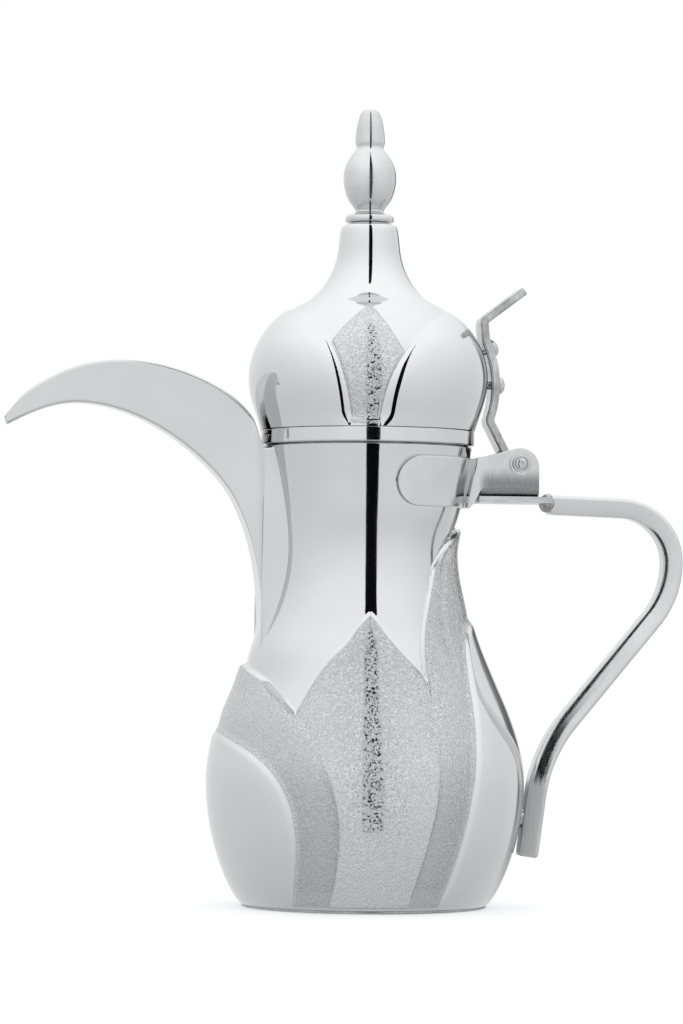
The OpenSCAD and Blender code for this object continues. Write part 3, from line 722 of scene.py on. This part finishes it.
def make_spout():
    cols = 96
    a = np.linspace(0, 2 * math.pi, cols, endpoint=False)
    reach = 2.4 * (0.4 + 0.6 * np.abs(np.sin(a)))
    ts = np.linspace(0, 0.34, 120)
    path = spout_at(ts[:, None], a[None, :])
    off = np.hypot(path[..., 0], path[..., 1]) - neck_radius(path)
    root, clear = [], []
    for j in range(cols):
        above = off[:, j]
        i0 = int(np.argmax(above > 0.02)) if (above > 0.02).any() else 0
        i1 = int(np.argmax(above > reach[j] * 0.8)) if (above > reach[j] * 0.8).any() else len(ts) - 1
        d = np.linalg.norm(path[:, j] - path[i0, j], axis=1)
        i2 = int(np.argmax(d > reach[j]))
        i1 = max(i0 + 2, min(i1, max(i2, i0 + 2) + 10))
        root.append(ts[i0])
        clear.append(ts[i1])
    def soften(v):
        v = np.array(v)
        for _ in range(4):
            v = (np.roll(v, 1) + 2 * v + np.roll(v, -1)) / 4
        return v
    t0, t1 = soften(root), soften(clear)
    corner = spout_at(t0, a)
    # foot of the fillet on the neck, moved out from the corner along the neck
    radius = neck_radius(corner)
    u = radius * np.arcsin(np.clip(corner[:, 1] / radius, -1, 1))
    flat = np.stack([u, corner[:, 2]], 1)
    tangent = np.roll(flat, -1, 0) - np.roll(flat, 1, 0)
    normal = np.stack([tangent[:, 1], -tangent[:, 0]], 1)
    normal /= np.linalg.norm(normal, axis=1, keepdims=True)
    centre = flat.mean(0)
    normal *= np.sign(((flat - centre) * normal).sum(1))[:, None]
    out = flat + reach[:, None] * normal
    out[:, 1] = np.minimum(out[:, 1], 171.4)
    z = out[:, 1]
    probe = np.stack([-radius * np.cos(out[:, 0] / radius), radius * np.sin(out[:, 0] / radius), z], 1)
    r_out = neck_radius(probe) - 0.06
    foot = np.stack([-r_out * np.cos(out[:, 0] / radius), r_out * np.sin(out[:, 0] / radius), z], 1)
    top = spout_at(t1, a)
    rings = []
    for k in range(8):
        w = k / 8
        rings.append((1 - w) ** 2 * foot + 2 * w * (1 - w) * corner + w * w * top)
    # from the fillet's uneven edge the sections even out into level ones
    w = np.linspace(0, 1, 79)[:, None]
    level = 0.36 + 0.64 * (w - 0.36) / 0.64
    ts_rows = np.where(w > 0.36, level, t1 + (0.36 - t1) * w / 0.36)
    for row in ts_rows:
        rings.append(spout_at(row, a))
    g = np.array(rings)
    s = Sheets()

    # the open slot near the tip: columns inside the slot angle slide to its edge
    t_all = np.vstack([np.zeros((8, cols)), ts_rows])
    last_closed = int(np.where(~(t_all > 0.8).any(1))[0].max())
    near = surface_normals(g[: last_closed + 2], True, False)[:-1]
    s.grid(g[: last_closed + 1], wrap_cols=True, normals=near)
    # slotted part: an open loop from one lip, under the spout, to the other
    half = 33
    t_rows = t_all[last_closed - 1:, 0]
    outer, inner = [], []
    for t in t_rows:
        start = math.radians(60) * math.sqrt(max(0.0, (t - 0.8) / 0.2))
        aa = np.linspace(start, 2 * math.pi - start, 2 * half + 1)
        outer.append(spout_at(np.full(aa.shape, t), aa))
        inner.append(spout_at(np.full(aa.shape, t), aa, 0.9))
    outer, inner = np.array(outer), np.array(inner)
    far = surface_normals(outer, False, False)
    outer, inner = outer[1:], inner[1:]
    s.grid(outer, normals=far[1:])
    s.grid(inner[:, ::-1])
    # lips of the slot and of the end, rounded
    def lip(p, q, way):
        mid = (p + q) / 2
        rows = []
        out_dir = way / np.maximum(np.linalg.norm(way, axis=1, keepdims=True), 1e-9)
        half_t = (p - q) / 2
        size = np.linalg.norm(half_t, axis=1, keepdims=True)
        for k in range(5):
            b = math.pi * k / 4
            rows.append(mid + half_t * math.cos(b) + out_dir * size * math.sin(b) * 0.8)
        return np.array(rows)
    left = lip(outer[:, 0], inner[:, 0], outer[:, 0] - outer[:, 1])
    right = lip(outer[:, -1], inner[:, -1], outer[:, -1] - outer[:, -2])
    end = lip(outer[-1], inner[-1], outer[-1] - outer[-2])
    s.grid(left)
    s.grid(right[:, ::-1])
    s.grid(end)
    # inside of the closed part, back to the strainer
    ia = np.linspace(0, 2 * math.pi, 48, endpoint=False)
    it = np.linspace(0.10, 0.805, 30)
    s.grid(spout_at(it[:, None], ia[None, :], 0.9), wrap_cols=True, flip=True)
    s.build("spout", SPOUT_STEEL, "pot", ["spout_front_half", "spout_back_half", "spout_weld"])


make_spout()


# ---------------------------------------------------------------- the handle

def bend(p, heading, radius, angle, count):
    """Points of a bend from p, a heading in degrees below +X, and the heading after it."""
    side = 1 if angle > 0 else -1
    def hand(h):
        return np.array([-math.sin(math.radians(h)), -math.cos(math.radians(h))])
    centre = p + side * radius * hand(heading)
    pts = [centre - side * radius * hand(heading + angle * i / count) for i in range(1, count + 1)]
    return pts, heading + angle


def run(p, heading, length, count):
    d = np.array([math.cos(math.radians(heading)), -math.sin(math.radians(heading))])
    return [p + d * length * i / count for i in range(1, count + 1)]


def handle_path():
    pts = [np.array([69.2, 151.45])]
    h = 2.0
    pts += run(pts[-1], h, 27.8, 10)
    more, h = bend(pts[-1], h, 20.35, 88, 36)
    pts += more
    more, h = bend(pts[-1], h, 34.35, 39.5, 20)
    pts += more
    pts += run(pts[-1], h, 49.9, 14)
    more, h = bend(pts[-1], h, 55.65, -32, 22)
    pts += more
    pts += run(pts[-1], h, 23.2, 8)
    return np.array(pts)


def make_handle():
    section, normals = handle_section()
    path = handle_path()
    # the ends are shortened by their rounding
    for at, nxt, r in ((0, 1, 0.6), (-1, -2, 1.4)):
        d = path[nxt] - path[at]
        path[at] = path[at] + d / np.linalg.norm(d) * r
    s = Sheets()
    sweep_xz(path, section, normals, s, end_round=1.4, start_round=0.6)
    s.build("handle_bar", HANDLE_STEEL, "pot", ["handle"])


make_handle()


def make_welds():
    # bead across the bar's end: five overlapping ripples
    rows, cols = 61, 24
    y = np.linspace(-6.7, 6.7, rows)
    b = np.linspace(0, 2 * math.pi, cols, endpoint=False)
    ripple = 0.5 + 0.5 * np.cos(2 * math.pi * y / 2.1)
    ends = np.sqrt(np.clip(1 - (np.abs(y) / 6.7) ** 4, 0, 1))
    radius = (2.3 + 0.5 * ripple) * ends
    wander = 0.35 * np.sin(y * 1.7)
    g = np.stack([
        68.8 + radius[:, None] * np.cos(b) * 1.0 + 0 * y[:, None],
        np.repeat(y[:, None], cols, 1) + 0.5 * (1 - np.cos(b))[None] * 0.4,
        152.2 + wander[:, None] * 0.5 + radius[:, None] * np.sin(b) * (1.2 + 0.08 * np.sin(3 * y))[:, None],
    ], -1)
    bead = Sheets()
    bead.grid(g, wrap_cols=True, flip=True)
    bead.build("handle_weld_bead", WELD_STEEL, "pot", ["handle_weld"])
    # weld between belly and foot, flared at both ends
    x = np.linspace(55.6, 61.8, 25)
    w = (x - x[0]) / (x[-1] - x[0])
    r = 3.3 + 1.3 * (2 * w - 1) ** 4 * np.where(w < 0.5, 1.0, 0.6)
    a = np.linspace(0, 2 * math.pi, 40, endpoint=False)
    lump = 1 + 0.05 * np.sin(5 * a)[None] + 0.04 * np.sin(3 * a + 8 * w[:, None])
    lump = r[:, None] * lump
    g = np.stack([np.repeat(x[:, None], 40, 1), lump * np.sin(a), 33 + lump * np.cos(a)], -1)
    foot = Sheets()
    foot.grid(g, wrap_cols=True, flip=True)
    foot.build("handle_foot_weld_bead", WELD_STEEL, "pot", ["handle_foot_weld"])


make_welds()


# ---------------------------------------------------------------- the hinge bracket

PIN = (57.0, 166.6)
CHEEK_Y = 9.0
CHEEK_R = 7.1
CHEEK_Z = 165.5
# The cheek's top edge, from the link to the round
CHEEK_LINE = ((43.3, 169.12), (55.15, 172.36))
PLATE = 1.8
# Outside radius of the bends between the bracket's floor and its cheeks
FLOOR_BEND = 2.8


def plate_edges(u, v, low, high, round_low, mirror, sheets, mask):
    """A plate with rounded edges, from its mid-surface columns. u is the outward normal and v the mid
    line, as functions of height; low and high are the heights at each column."""
    up = np.array([0, 0, 1.0])
    r_high = np.minimum(0.45, (high - low) / 2)
    r_low = np.where(round_low, r_high, 0)
    rows = []

    def face(way, order):
        for k in order:
            z = np.clip(low + (high - low) * k / 14, low + r_low, high - r_high)
            rows.append((v(z) + way * u(z) * PLATE / 2, way * u(z)))

    def edge(way, at, r, last):
        for k in range(1, last):
            c, s = math.cos(math.pi * k / 6), math.sin(math.pi * k / 6)
            z = at + way * r * (s - 1)
            across = way * ((PLATE / 2 - r) * np.sign(round(c, 6)) + r * c)
            rows.append((v(z) + u(z) * across[:, None], way * (u(z) * c + up * s)))

    face(1, range(15))
    edge(1, high, r_high, 7)
    face(-1, range(14, -1, -1))
    edge(-1, low, r_low, 6)
    g, n = (np.array(a) * mirror for a in zip(*rows))
    n /= np.maximum(np.linalg.norm(n, axis=2, keepdims=True), 1e-9)
    sheets.grid(g, wrap_rows=True, normals=n, mask=np.broadcast_to(mask, g.shape[:2]))
    return g


def make_bracket():
    s = Sheets()
    gap = 0.15
    low0, high0 = 149.4, 168.0
    half = (high0 - low0) / 2
    mid_z = (low0 + high0) / 2

    # parameters of the columns: round end, wing, link, cheek
    arc_r = 38.0
    end_deg = 66.0
    turn = np.linspace(0, 1, 12)[1:]
    round_part = [(end_deg + math.degrees(half * math.cos(math.pi / 2 * w) / arc_r)) for w in turn]
    wing = list(np.linspace(end_deg, 23.0, 26)[1:])
    angles = np.array([end_deg + math.degrees(half * 0.997 / arc_r)] + round_part + wing)
    link = np.linspace(0, 1, 15)[1:]
    cheek_x = np.r_[np.linspace(43.4, CHEEK_LINE[1][0], 9)[1:],
                    PIN[0] + CHEEK_R * np.sin(np.linspace(-0.263, math.pi / 2, 15))[1:]]

    def wing_point(deg, z):
        r = pot_r(z) + gap + PLATE / 2
        a = np.radians(deg)
        return np.stack([r * np.cos(a), -r * np.sin(a), z], -1)

    def wing_normal(deg):
        a = np.radians(deg)
        return np.stack([np.cos(a), -np.sin(a), 0 * a], -1)

    n_w, n_l, n_c = len(angles), len(link), len(cheek_x)
    cols = n_w + n_l + n_c
    start = np.array([43.4, -(CHEEK_Y - PLATE / 2)])

    def mid_surface(z):
        z = np.broadcast_to(np.asarray(z, float), (cols,))
        out = np.zeros((cols, 3))
        out[:n_w] = wing_point(angles, z[:n_w])
        zl = z[n_w:n_w + n_l]
        p0 = wing_point(np.full(n_l, 23.0), zl)[:, :2]
        a = math.radians(23.0)
        t0 = np.array([math.sin(a), math.cos(a)])
        p1 = p0 + 4.6 * t0
        p2 = start - np.array([4.2, 0])
        w = link[:, None]
        out[n_w:n_w + n_l, :2] = ((1 - w) ** 3 * p0 + 3 * w * (1 - w) ** 2 * p1 + 3 * w * w * (1 - w) * p2
                                  + w ** 3 * start)
        out[n_w:n_w + n_l, 2] = zl
        out[n_w + n_l:, 0] = cheek_x
        out[n_w + n_l:, 1] = start[1]
        out[n_w + n_l:, 2] = z[n_w + n_l:]
        return out

    def normal(z):
        m = mid_surface(z)[:, :2]
        d = np.gradient(m, axis=0)
        d /= np.maximum(np.linalg.norm(d, axis=1, keepdims=True), 1e-9)
        n = np.stack([d[:, 1], -d[:, 0], 0 * d[:, 0]], 1)
        n[:n_w] = wing_normal(angles)
        n[n_w + n_l:] = (0, -1, 0)
        return n

    mid = mid_surface(mid_z)
    x = mid[:, 0]
    low = np.full(cols, low0)
    high = np.full(cols, high0)
    # round end
    for i in range(n_w):
        over = math.radians(angles[i] - end_deg) * arc_r
        if over > 0:
            hh = math.sqrt(max(0.0, half * half - over * over))
            low[i], high[i] = mid_z - hh, mid_z + hh
    sl = smooth(x, 37.2, 43.2)
    link_on = np.arange(cols) >= n_w
    low = np.where(link_on, low0 + (157.2 - low0) * sl, low)
    high = np.where(link_on, high0 + 1.12 * np.clip((x - 36.5) / 6.5, 0, 1), high)
    cx = x >= 43.3
    line = np.interp(x, [q[0] for q in CHEEK_LINE], [q[1] for q in CHEEK_LINE])
    round_top = CHEEK_Z + np.sqrt(np.clip(CHEEK_R ** 2 - (x - PIN[0]) ** 2, 0, None))
    high = np.where(cx, np.where(x <= CHEEK_LINE[1][0], line, round_top), high)
    # where the cheeks are brushed, and where the painted shade at their foot may fall
    brushing_and_shade = smooth(x, 40.0, 44.5)
    for side in (1, -1):
        mirror = np.array([1.0, side, 1.0])
        g = plate_edges(normal, mid_surface, low, high, low < 157.0, mirror, s, brushing_and_shade)
        for end, facing in ((g[:, -1], (1.0, 0.0, 0.0)), (g[:, 0], (0.2, -side, 0.0))):
            cap = disc_fan(end)
            s.grid(cap, wrap_cols=True, normals=np.broadcast_to(facing, cap.shape))

    xs = np.linspace(42.2, PIN[0] + CHEEK_R, 12)

    def channel(offset, way):
        """The floor's outside or inside with its two bends, swept along X."""
        bends = np.radians(np.r_[np.linspace(180, 270, 9), np.linspace(270, 360, 9)])
        r = FLOOR_BEND - offset
        y = np.repeat([-1, 1], 9) * (CHEEK_Y - FLOOR_BEND) + r * np.cos(bends)
        y = np.r_[offset - CHEEK_Y, y, CHEEK_Y - offset]
        z = np.r_[157.15, 157.1 + r * np.sin(bends), 157.15]
        xx, yy = np.meshgrid(xs, y, indexing="ij")
        g = np.stack([xx, yy, np.broadcast_to(z, yy.shape)], -1)
        n = np.stack([0 * y, np.r_[-1, np.cos(bends), 1], np.r_[0, np.sin(bends), 0]], 1)
        # mask 1: the floor is brushed and takes the painted shade all over
        s.grid(g, normals=np.broadcast_to(n * way, g.shape), mask=1.0)
        return g

    outside, inside = channel(0, 1), channel(PLATE, -1)
    for i, way in ((0, -1), (-1, 1)):
        strip = np.stack([outside[i], inside[i]])
        s.grid(strip, normals=np.broadcast_to((way, 0.0, 0.0), strip.shape))
    s.build("hinge_bracket_plate", BRACKET_STEEL, "pot", ["hinge_bracket"])


make_bracket()


# ---------------------------------------------------------------- the lid

LID = [
    [(40.3, 178.45), (42.2, 185), (45.1, 191), (45.1, 198)],
    [(45.1, 198), (45.1, 211), (36.5, 221.5), (26, 226.3)],
    [(26, 226.3), (18.5, 229.8), (12.6, 237), (11.6, 248)],
    [(11.6, 248), (11.1, 252.5), (10.9, 256.2), (9.3, 256.2)],
]
LID_LINE = np.vstack([cubic(c, np.linspace(0, 1, 160)) for c in LID])


def lid_r(z):
    return np.interp(z, LID_LINE[:, 1], LID_LINE[:, 0])


LOBE_SPOUT = arch([(-90, 224.5), (-74, 223.8), (-60, 222.4), (-48, 220), (-38, 216.6), (-30, 212),
                   (-24.5, 206.5),
                   (-20.5, 200), (-18, 193), (-16.6, 186), (-16, 179), (-15.6, 170)], -90)
LOBE_HANDLE = arch([(90, 224.5), (72, 223.6), (56, 222), (42, 219.6), (30, 216.4), (20, 211.8), (12.5, 206.3),
                    (6.5, 200), (2.6, 193), (0.4, 186), (-0.6, 179), (-1, 170)], 90)
LID_PETAL = np.vstack([
    through([(-7, 224), (-12.5, 221.5), (-19, 217.5), (-26, 211), (-34, 200), (-34, 170)]),
    through([(-34, 170), (-34, 169.9), (20, 169.9), (20, 170)], 2),
    through([(20, 170), (20, 196), (14, 203), (9, 209.5), (3, 217), (-2.5, 221.8), (-7, 224)]),
])


def lid_surface(theta, z):
    r = lid_r(z)
    a = signed(theta, z, r, LOBE_SPOUT)
    b = signed(theta, z, r, LOBE_HANDLE)
    p = signed(theta, z, r, LID_PETAL)
    lobe = np.maximum(a, b)
    deep = cushion(lobe, 2.2, 7.0) + 0.5 * (1 - (1 - np.clip(lobe / 16, 0, 1)) ** 2)
    base = 2.7 * smooth(z, 238, 212) * smooth(z, 177, 184)
    rise = deep * smooth(z, 176.5, 184)
    petal = step(p, 0.5, 1.2) * (1 - smooth(lobe, -0.6, 0.2)) * smooth(z, 177, 184)
    etched = smooth(p, 0.0, 0.7) * (1 - smooth(lobe, -0.7, 0.0)) * smooth(z, 179.0, 180.2)
    return r - base + rise + petal, etched


def make_lid():
    line = resample(LID_LINE, 0.8)
    cols = 480
    theta = np.linspace(-180, 180, cols, endpoint=False)
    tt, _ = np.meshgrid(mirrored_angle(theta), line[:, 1])
    zz = np.repeat(line[:, 1:], cols, 1)
    radius, etched = lid_surface(tt, zz)
    # above the dome the outline turns over, so its own radius is used there
    radius = np.where(zz > 240, line[:, :1], radius)
    g = ring_points(radius, np.broadcast_to(theta, radius.shape), zz)
    s = Sheets()
    s.grid(g, wrap_cols=True, mask=etched)
    # collar, its foot, and the inside
    inside = [(38.85, 178.45), (38.85, 172.9), (38.55, 172.6), (38.15, 172.6), (37.85, 172.9), (37.85, 178.9)]
    s.lathe([(40.3, 178.45), (38.85, 178.44)], 160, flip=True)
    s.lathe(np.array(inside), 160, flip=True)
    keep = (LID_LINE[:, 1] > 179.2) & (LID_LINE[:, 1] < 255.0)
    inner = LID_LINE[keep].copy()
    inner[:, 0] -= 1.0 + 2.8 * smooth(inner[:, 1], 180, 186) * smooth(inner[:, 1], 233, 221)
    inner = resample(np.vstack([[37.85, 178.9], inner, [2.05, 255.2]]), 3.0)
    s.lathe(inner, 96, flip=True)
    s.lathe([(9.3, 256.2), (2.05, 256.2)], 96)
    s.build("lid_dome", LID_STEEL, "lid", ["lid_shell"])


make_lid()


def make_band():
    e = 0.7
    outline = rounded_line([(38.9, 172.8), (40.2, 172.8), (40.2, 178.4), (38.9, 178.4)], [e, e], 10)
    s = Sheets()
    s.lathe(outline, 200)
    s.lathe([(38.9, 178.4), (38.9, 172.8)], 200)
    s.build("lid_band_ring", BAND_STEEL, "lid", ["lid_band"])


make_band()


# ---------------------------------------------------------------- the lever and rivets

LEVER_C = np.array([8.2, 196.0])
LEVER_R = 39.6
RIVETS = (0.7, 20.6)


def on_arc(deg):
    return LEVER_C + LEVER_R * np.array([math.cos(math.radians(deg)), math.sin(math.radians(deg))])


def make_lever():
    t, w = 3.2, 13.0
    pin = np.array(PIN)
    # off one side of the knuckle, round the dome's back, up, and out to the thumb rest
    start, foot = pin + (-2.6, -1.0), on_arc(-19.4)
    elbow, tip = np.array([43.2, 220.5]), np.array([57.5, 231.3])
    end = tip + (tip - elbow) / np.linalg.norm(tip - elbow) * 0.7
    back = [on_arc(a) for a in np.linspace(-14, 21, 22)]
    path = rounded_line([start, foot, *back, on_arc(25.4), elbow, end],
                        [3.0] + [40.0] * len(back) + [8.0, 2.4], 6)
    section, normals = rounded_rect(t, w, 0.85)
    s = Sheets()
    sweep_xz(path, section, normals, s, end_round=0.9, start_round=0.0)
    # knuckle round the pin
    place = Matrix.Translation((pin[0], 0, pin[1])) @ Matrix.Rotation(math.radians(90), 4, "X")
    c = 0.5
    ring = rounded_line([(2.06, -w / 2), (4.4, -w / 2), (4.4, w / 2), (2.06, w / 2)], [c, c], 15)
    s.lathe(ring, 72, place=place)
    s.lathe([(2.06, w / 2), (2.06, -w / 2)], 48, place=place)
    s.build("lid_thumb_lever", LEVER_STEEL, "lid", ["lid_lever"])


make_lever()


def dome_distance(deg):
    """Distance from the lever's centre to the dome's outside in the XZ plane."""
    z = LID_LINE[:, 1]
    radius, _ = lid_surface(np.full(z.shape, 89.9), z)
    d = np.stack([radius, z], 1) - LEVER_C
    ang = np.degrees(np.arctan2(d[:, 1], d[:, 0]))
    keep = (ang > -25) & (ang < 45)
    return float(np.interp(deg, ang[keep], np.linalg.norm(d, axis=1)[keep]))


def make_rivets():
    s = Sheets()
    for deg in RIVETS:
        place = (Matrix.Translation((LEVER_C[0], 0, LEVER_C[1]))
                 @ Matrix.Rotation(math.radians(90 - deg), 4, "Y"))
        wall = dome_distance(deg)
        outside = LEVER_R + 1.6 + 0.05
        inside = wall - 1 - 0.6 - 0.5
        dome = []
        for k in range(13):
            a = math.radians(90 * k / 12)
            dome.append((3.4 * math.sin(a) ** 0.9, outside + 0.5 + 2.1 * math.cos(a)))
        s.lathe([(1.6, inside), (1.6, outside)], 40, place=place)
        s.lathe([(1.6, outside), (3.1, outside), (3.4, outside + 0.5)], 56, place=place)
        s.lathe(np.array(dome[::-1]), 56, place=place)
        turns = [math.radians(a) for a in range(15, 91, 15)]
        button = [(2.6 * math.sin(a), inside - math.cos(a)) for a in turns]
        button = [(0.0, inside - 1.0), *button, (1.6, inside)]
        s.lathe(np.array(button), 40, place=place)
    s.build("lever_rivet_heads", PIN_STEEL, "lid", ["lever_rivets"])


make_rivets()


def make_pin():
    s = Sheets()
    place = Matrix.Translation((PIN[0], 0, PIN[1])) @ Matrix.Rotation(math.radians(90), 4, "X")
    reach = 9.7
    s.lathe([(2.0, -reach), (2.0, reach)], 48, place=place)
    # a collar with a groove inside it, and a dome with a small dimple
    head = np.vstack([
        rounded_line([(2.0, 0.0), (3.25, 0.0), (3.25, 0.75), (2.62, 0.82), (2.5, 0.55), (2.35, 0.62)],
                     [0.1, 0.3, 0.1, 0.1], 15),
        through([(2.3, 0.75), (2.05, 1.0), (1.6, 1.25), (1.1, 1.4), (0.75, 1.42), (0.55, 1.25),
                 (0.0, 1.2)], 5),
    ])
    up = head + np.array([0, reach])
    s.lathe(up, 56, place=place)
    down = head[::-1] * np.array([1, -1]) - np.array([0, reach])
    s.lathe(down, 56, place=place)
    s.build("hinge_pin_headed", PIN_STEEL, "pot", ["hinge_pin"])


make_pin()


# ---------------------------------------------------------------- the finial

def make_finial():
    base = [(2.05, 256.25), (7.3, 256.27), (7.3, 256.9), (8.6, 257.0), (9.15, 257.7), (9.2, 258.5),
            (8.9, 259.4),
            (7.9, 260.1), (6.3, 260.6), (5.5, 261.2), (5.5, 262.0)]
    egg = [(7.9, 265.4), (9.35, 269.1), (9.95, 272.6), (9.75, 276.6), (8.5, 280.2), (6.6, 283.2),
           (5.4, 284.7)]
    neck = [(5.1, 285.5), (5.15, 286.1), (5.45, 286.7), (5.62, 287.6)]
    cap = [(5.55, 289.5), (5.25, 292.2), (4.75, 295.0), (4.0, 297.6), (3.2, 299.2), (2.2, 299.85),
           (1.1, 300.0),
           (0.0, 300.0)]
    line = np.vstack([base[:3], through(base[3:] + egg + neck + cap, 8)])
    s = Sheets()
    s.lathe(resample(line, 0.35), 96)
    s.lathe([(2.05, 268.5), (2.05, 256.25)], 40)
    s.lathe([(0, 268.5), (2.05, 268.5)], 40)
    s.build("finial_turned", FINIAL_STEEL, "lid", ["finial"])


make_finial()


# ---------------------------------------------------------------- carried-over CAD nodes

def dress(node, material, bevel):
    obj = NODES[node]
    obj.data.materials.clear()
    obj.data.materials.append(material)
    if bevel:
        m = obj.modifiers.new("edge", "BEVEL")
        m.width = bevel * MM
        m.segments = 3
        m.limit_method = "ANGLE"
        m.angle_limit = math.radians(40)
        m.harden_normals = False
    for p in obj.data.polygons:
        p.use_smooth = True
    obj.data.set_sharp_from_angle(angle=math.radians(32))


# CAD nodes shown as they are: steel, and the bevel on their edges in mm
for node, steel, edge in (
    ("base_plate", SATIN_STEEL, 0),
    ("hinge_base_plate", PLATE_STEEL, 0.35),
    ("pin_washers", PIN_STEEL, 0.12),
    ("lid_skirt", INNER_STEEL, 0),
    ("rivet_washers", INNER_STEEL, 0.1),
    ("finial_stud", INNER_STEEL, 0.2),
    ("finial_washer", INNER_STEEL, 0.12),
    ("finial_nut", SATIN_STEEL, 0.25),
):
    dress(node, steel, edge)


# ---------------------------------------------------------------- stage, light, camera

AZIMUTH = math.radians(-7.0)
CAMERA_AWAY = 1.5


def make_floor():
    rings, segs = 24, 96
    r = 4.0 * (np.linspace(0, 1, rings) ** 2)
    a = np.linspace(0, 2 * math.pi, segs, endpoint=False)
    co = [(0, 0, -0.0002)] + [(x * math.cos(b), x * math.sin(b), -0.0002) for x in r[1:] for b in a]
    faces = [(0, 1 + i, 1 + (i + 1) % segs) for i in range(segs)]
    for k in range(rings - 2):
        for i in range(segs):
            p, q = 1 + k * segs + i, 1 + k * segs + (i + 1) % segs
            faces.append((p, p + segs, q + segs, q))
    mesh = bpy.data.meshes.new("floor")
    mesh.from_pydata(co, [], faces)
    obj = bpy.data.objects.new("floor", mesh)
    bpy.context.scene.collection.objects.link(obj)
    mat = bpy.data.materials.new("pale_floor")
    mat.use_nodes = True
    g = Graph(mat.node_tree)
    where = g.add("TexCoord").outputs["Object"]
    paper = g.add("TexNoise", Vector=where, Scale=900.0, Detail=4.0).outputs[0]
    colour = g.mix(paper, (0.42, 0.424, 0.435, 1), (0.45, 0.454, 0.465, 1))
    matt = g.add("BsdfPrincipled", Roughness=0.85, Base_Color=colour)
    glow = g.add("Emission", Color=(1, 1, 1, 1), Strength=0.54)
    lit = g.fill("AddShader", None, matt, glow)
    white = g.add("Emission", Color=(1, 1, 1, 1), Strength=1.0)
    away = g.fill("VectorMath", {"operation": "LENGTH"}, where).outputs["Value"]
    far = g.fade(away, 0.16, 0.55, 0.0, 1.0, "SMOOTHSTEP")
    seen = g.fill("MixShader", None, far, lit, white)
    ray = g.add("LightPath").outputs["Is Camera Ray"]
    g.put(g.add("OutputMaterial"), "Surface", g.fill("MixShader", None, ray, matt, seen))
    mesh.materials.append(mat)
    obj.visible_glossy = False


make_floor()


def make_card():
    """The dark gap in the light tent that the camera looks through, as polished steel mirrors it."""
    y, left, right, low, high = -0.27, -0.041, 0.0243, -0.062, 1.5
    mid, half = (left + right) / 2, (right - left) / 2
    turns = np.linspace(0, math.pi, 25)
    top = [(mid + half * math.cos(a), y, high - half + half * math.sin(a)) for a in turns]
    co = [(right, y, low)] + top + [(left, y, low)]
    mesh = bpy.data.meshes.new("dark_card")
    mesh.from_pydata(co, [], [tuple(range(len(co)))])
    obj = bpy.data.objects.new("dark_card", mesh)
    bpy.context.scene.collection.objects.link(obj)
    mat = bpy.data.materials.new("dark_card")
    mat.use_nodes = True
    g = Graph(mat.node_tree)
    out = g.add("OutputMaterial")
    g.put(out, "Surface", g.add("Emission", Color=(0.004, 0.004, 0.005, 1), Strength=1.0).outputs[0])
    mesh.materials.append(mat)
    obj.visible_camera = False
    obj.visible_diffuse = False
    obj.visible_shadow = False
    obj.visible_transmission = False


make_card()


def make_world():
    world = bpy.data.worlds.new("tent")
    bpy.context.scene.world = world
    world.use_nodes = True
    g = Graph(world.node_tree)
    way = g.add("TexCoord").outputs["Generated"]
    xyz = g.add("SeparateXYZ", Vector=way)
    x, y, z = xyz.outputs
    up_deg = g.times(g.math("ARCSINE", z), 180 / math.pi)
    az = g.times(g.math("ARCTAN2", x, g.times(y, -1.0)), 180 / math.pi)

    def band(value, mid, span, edge):
        """1 within span of the middle, in degrees, with soft edges."""
        off = g.math("ABSOLUTE", g.math("SUBTRACT", value, mid))
        return g.fade(off, span - edge, span + edge, 1.0, 0.0, "SMOOTHSTEP")

    # the tent's cloth: darker below and behind, brighter above
    base = g.ramp(g.fade(up_deg, -60.0, 90.0, 0.0, 1.0), (0.0, grey(0.54)), (0.20, grey(0.62)),
                  (0.40, grey(0.745)), (0.60, grey(0.87)), (0.80, grey(0.98)), (1.0, grey(1.0, 0)))
    side = g.fade(g.math("ABSOLUTE", az), 20.0, 120.0, 0.0, 1.0, "SMOOTHSTEP")
    under = g.fade(up_deg, 8.0, 50.0, 1.0, 0.0, "SMOOTHSTEP")
    colour = g.mix(g.times(g.times(side, 0.13), under), base, (0.0, 0.0, 0.0, 1))
    # an opening in the tent behind the pot's right
    opening = g.times(band(az, 148.0, 9.0, 3.5), band(up_deg, 3.0, 13.0, 9.0))
    colour = g.mix(g.times(opening, 0.85), colour, grey(0.02))
    bright = g.add("Background", Color=colour, Strength=1 / STEEL)
    plain = g.add("Background", Color=(1, 1, 1, 1), Strength=1.0)
    ray = g.add("LightPath").outputs["Is Camera Ray"]
    both = g.fill("MixShader", None, ray, bright, plain)
    g.put(g.add("OutputWorld"), "Surface", both)


make_world()


def make_camera():
    cam = bpy.data.objects.new("camera", bpy.data.cameras.new("camera"))
    bpy.context.scene.collection.objects.link(cam)
    c, s = math.cos(AZIMUTH), math.sin(AZIMUTH)
    right = Vector((c, s, 0))
    back = Vector((s, -c, 0))
    shift = right * -0.0096
    cam.location = back * CAMERA_AWAY + shift + Vector((0, 0, 0.0997))
    target = shift + Vector((0, 0, 0.1479))
    cam.rotation_euler = (target - cam.location).to_track_quat("-Z", "Y").to_euler()
    cam.rotation_euler.rotate_axis("Z", math.radians(0.5))
    cam.data.sensor_fit = "VERTICAL"
    cam.data.sensor_height = 36
    cam.data.lens = 140.1
    cam.data.clip_start = 0.05
    bpy.context.scene.camera = cam


make_camera()

scene = bpy.context.scene
scene.view_settings.view_transform = "Standard"
scene.view_settings.look = "None"
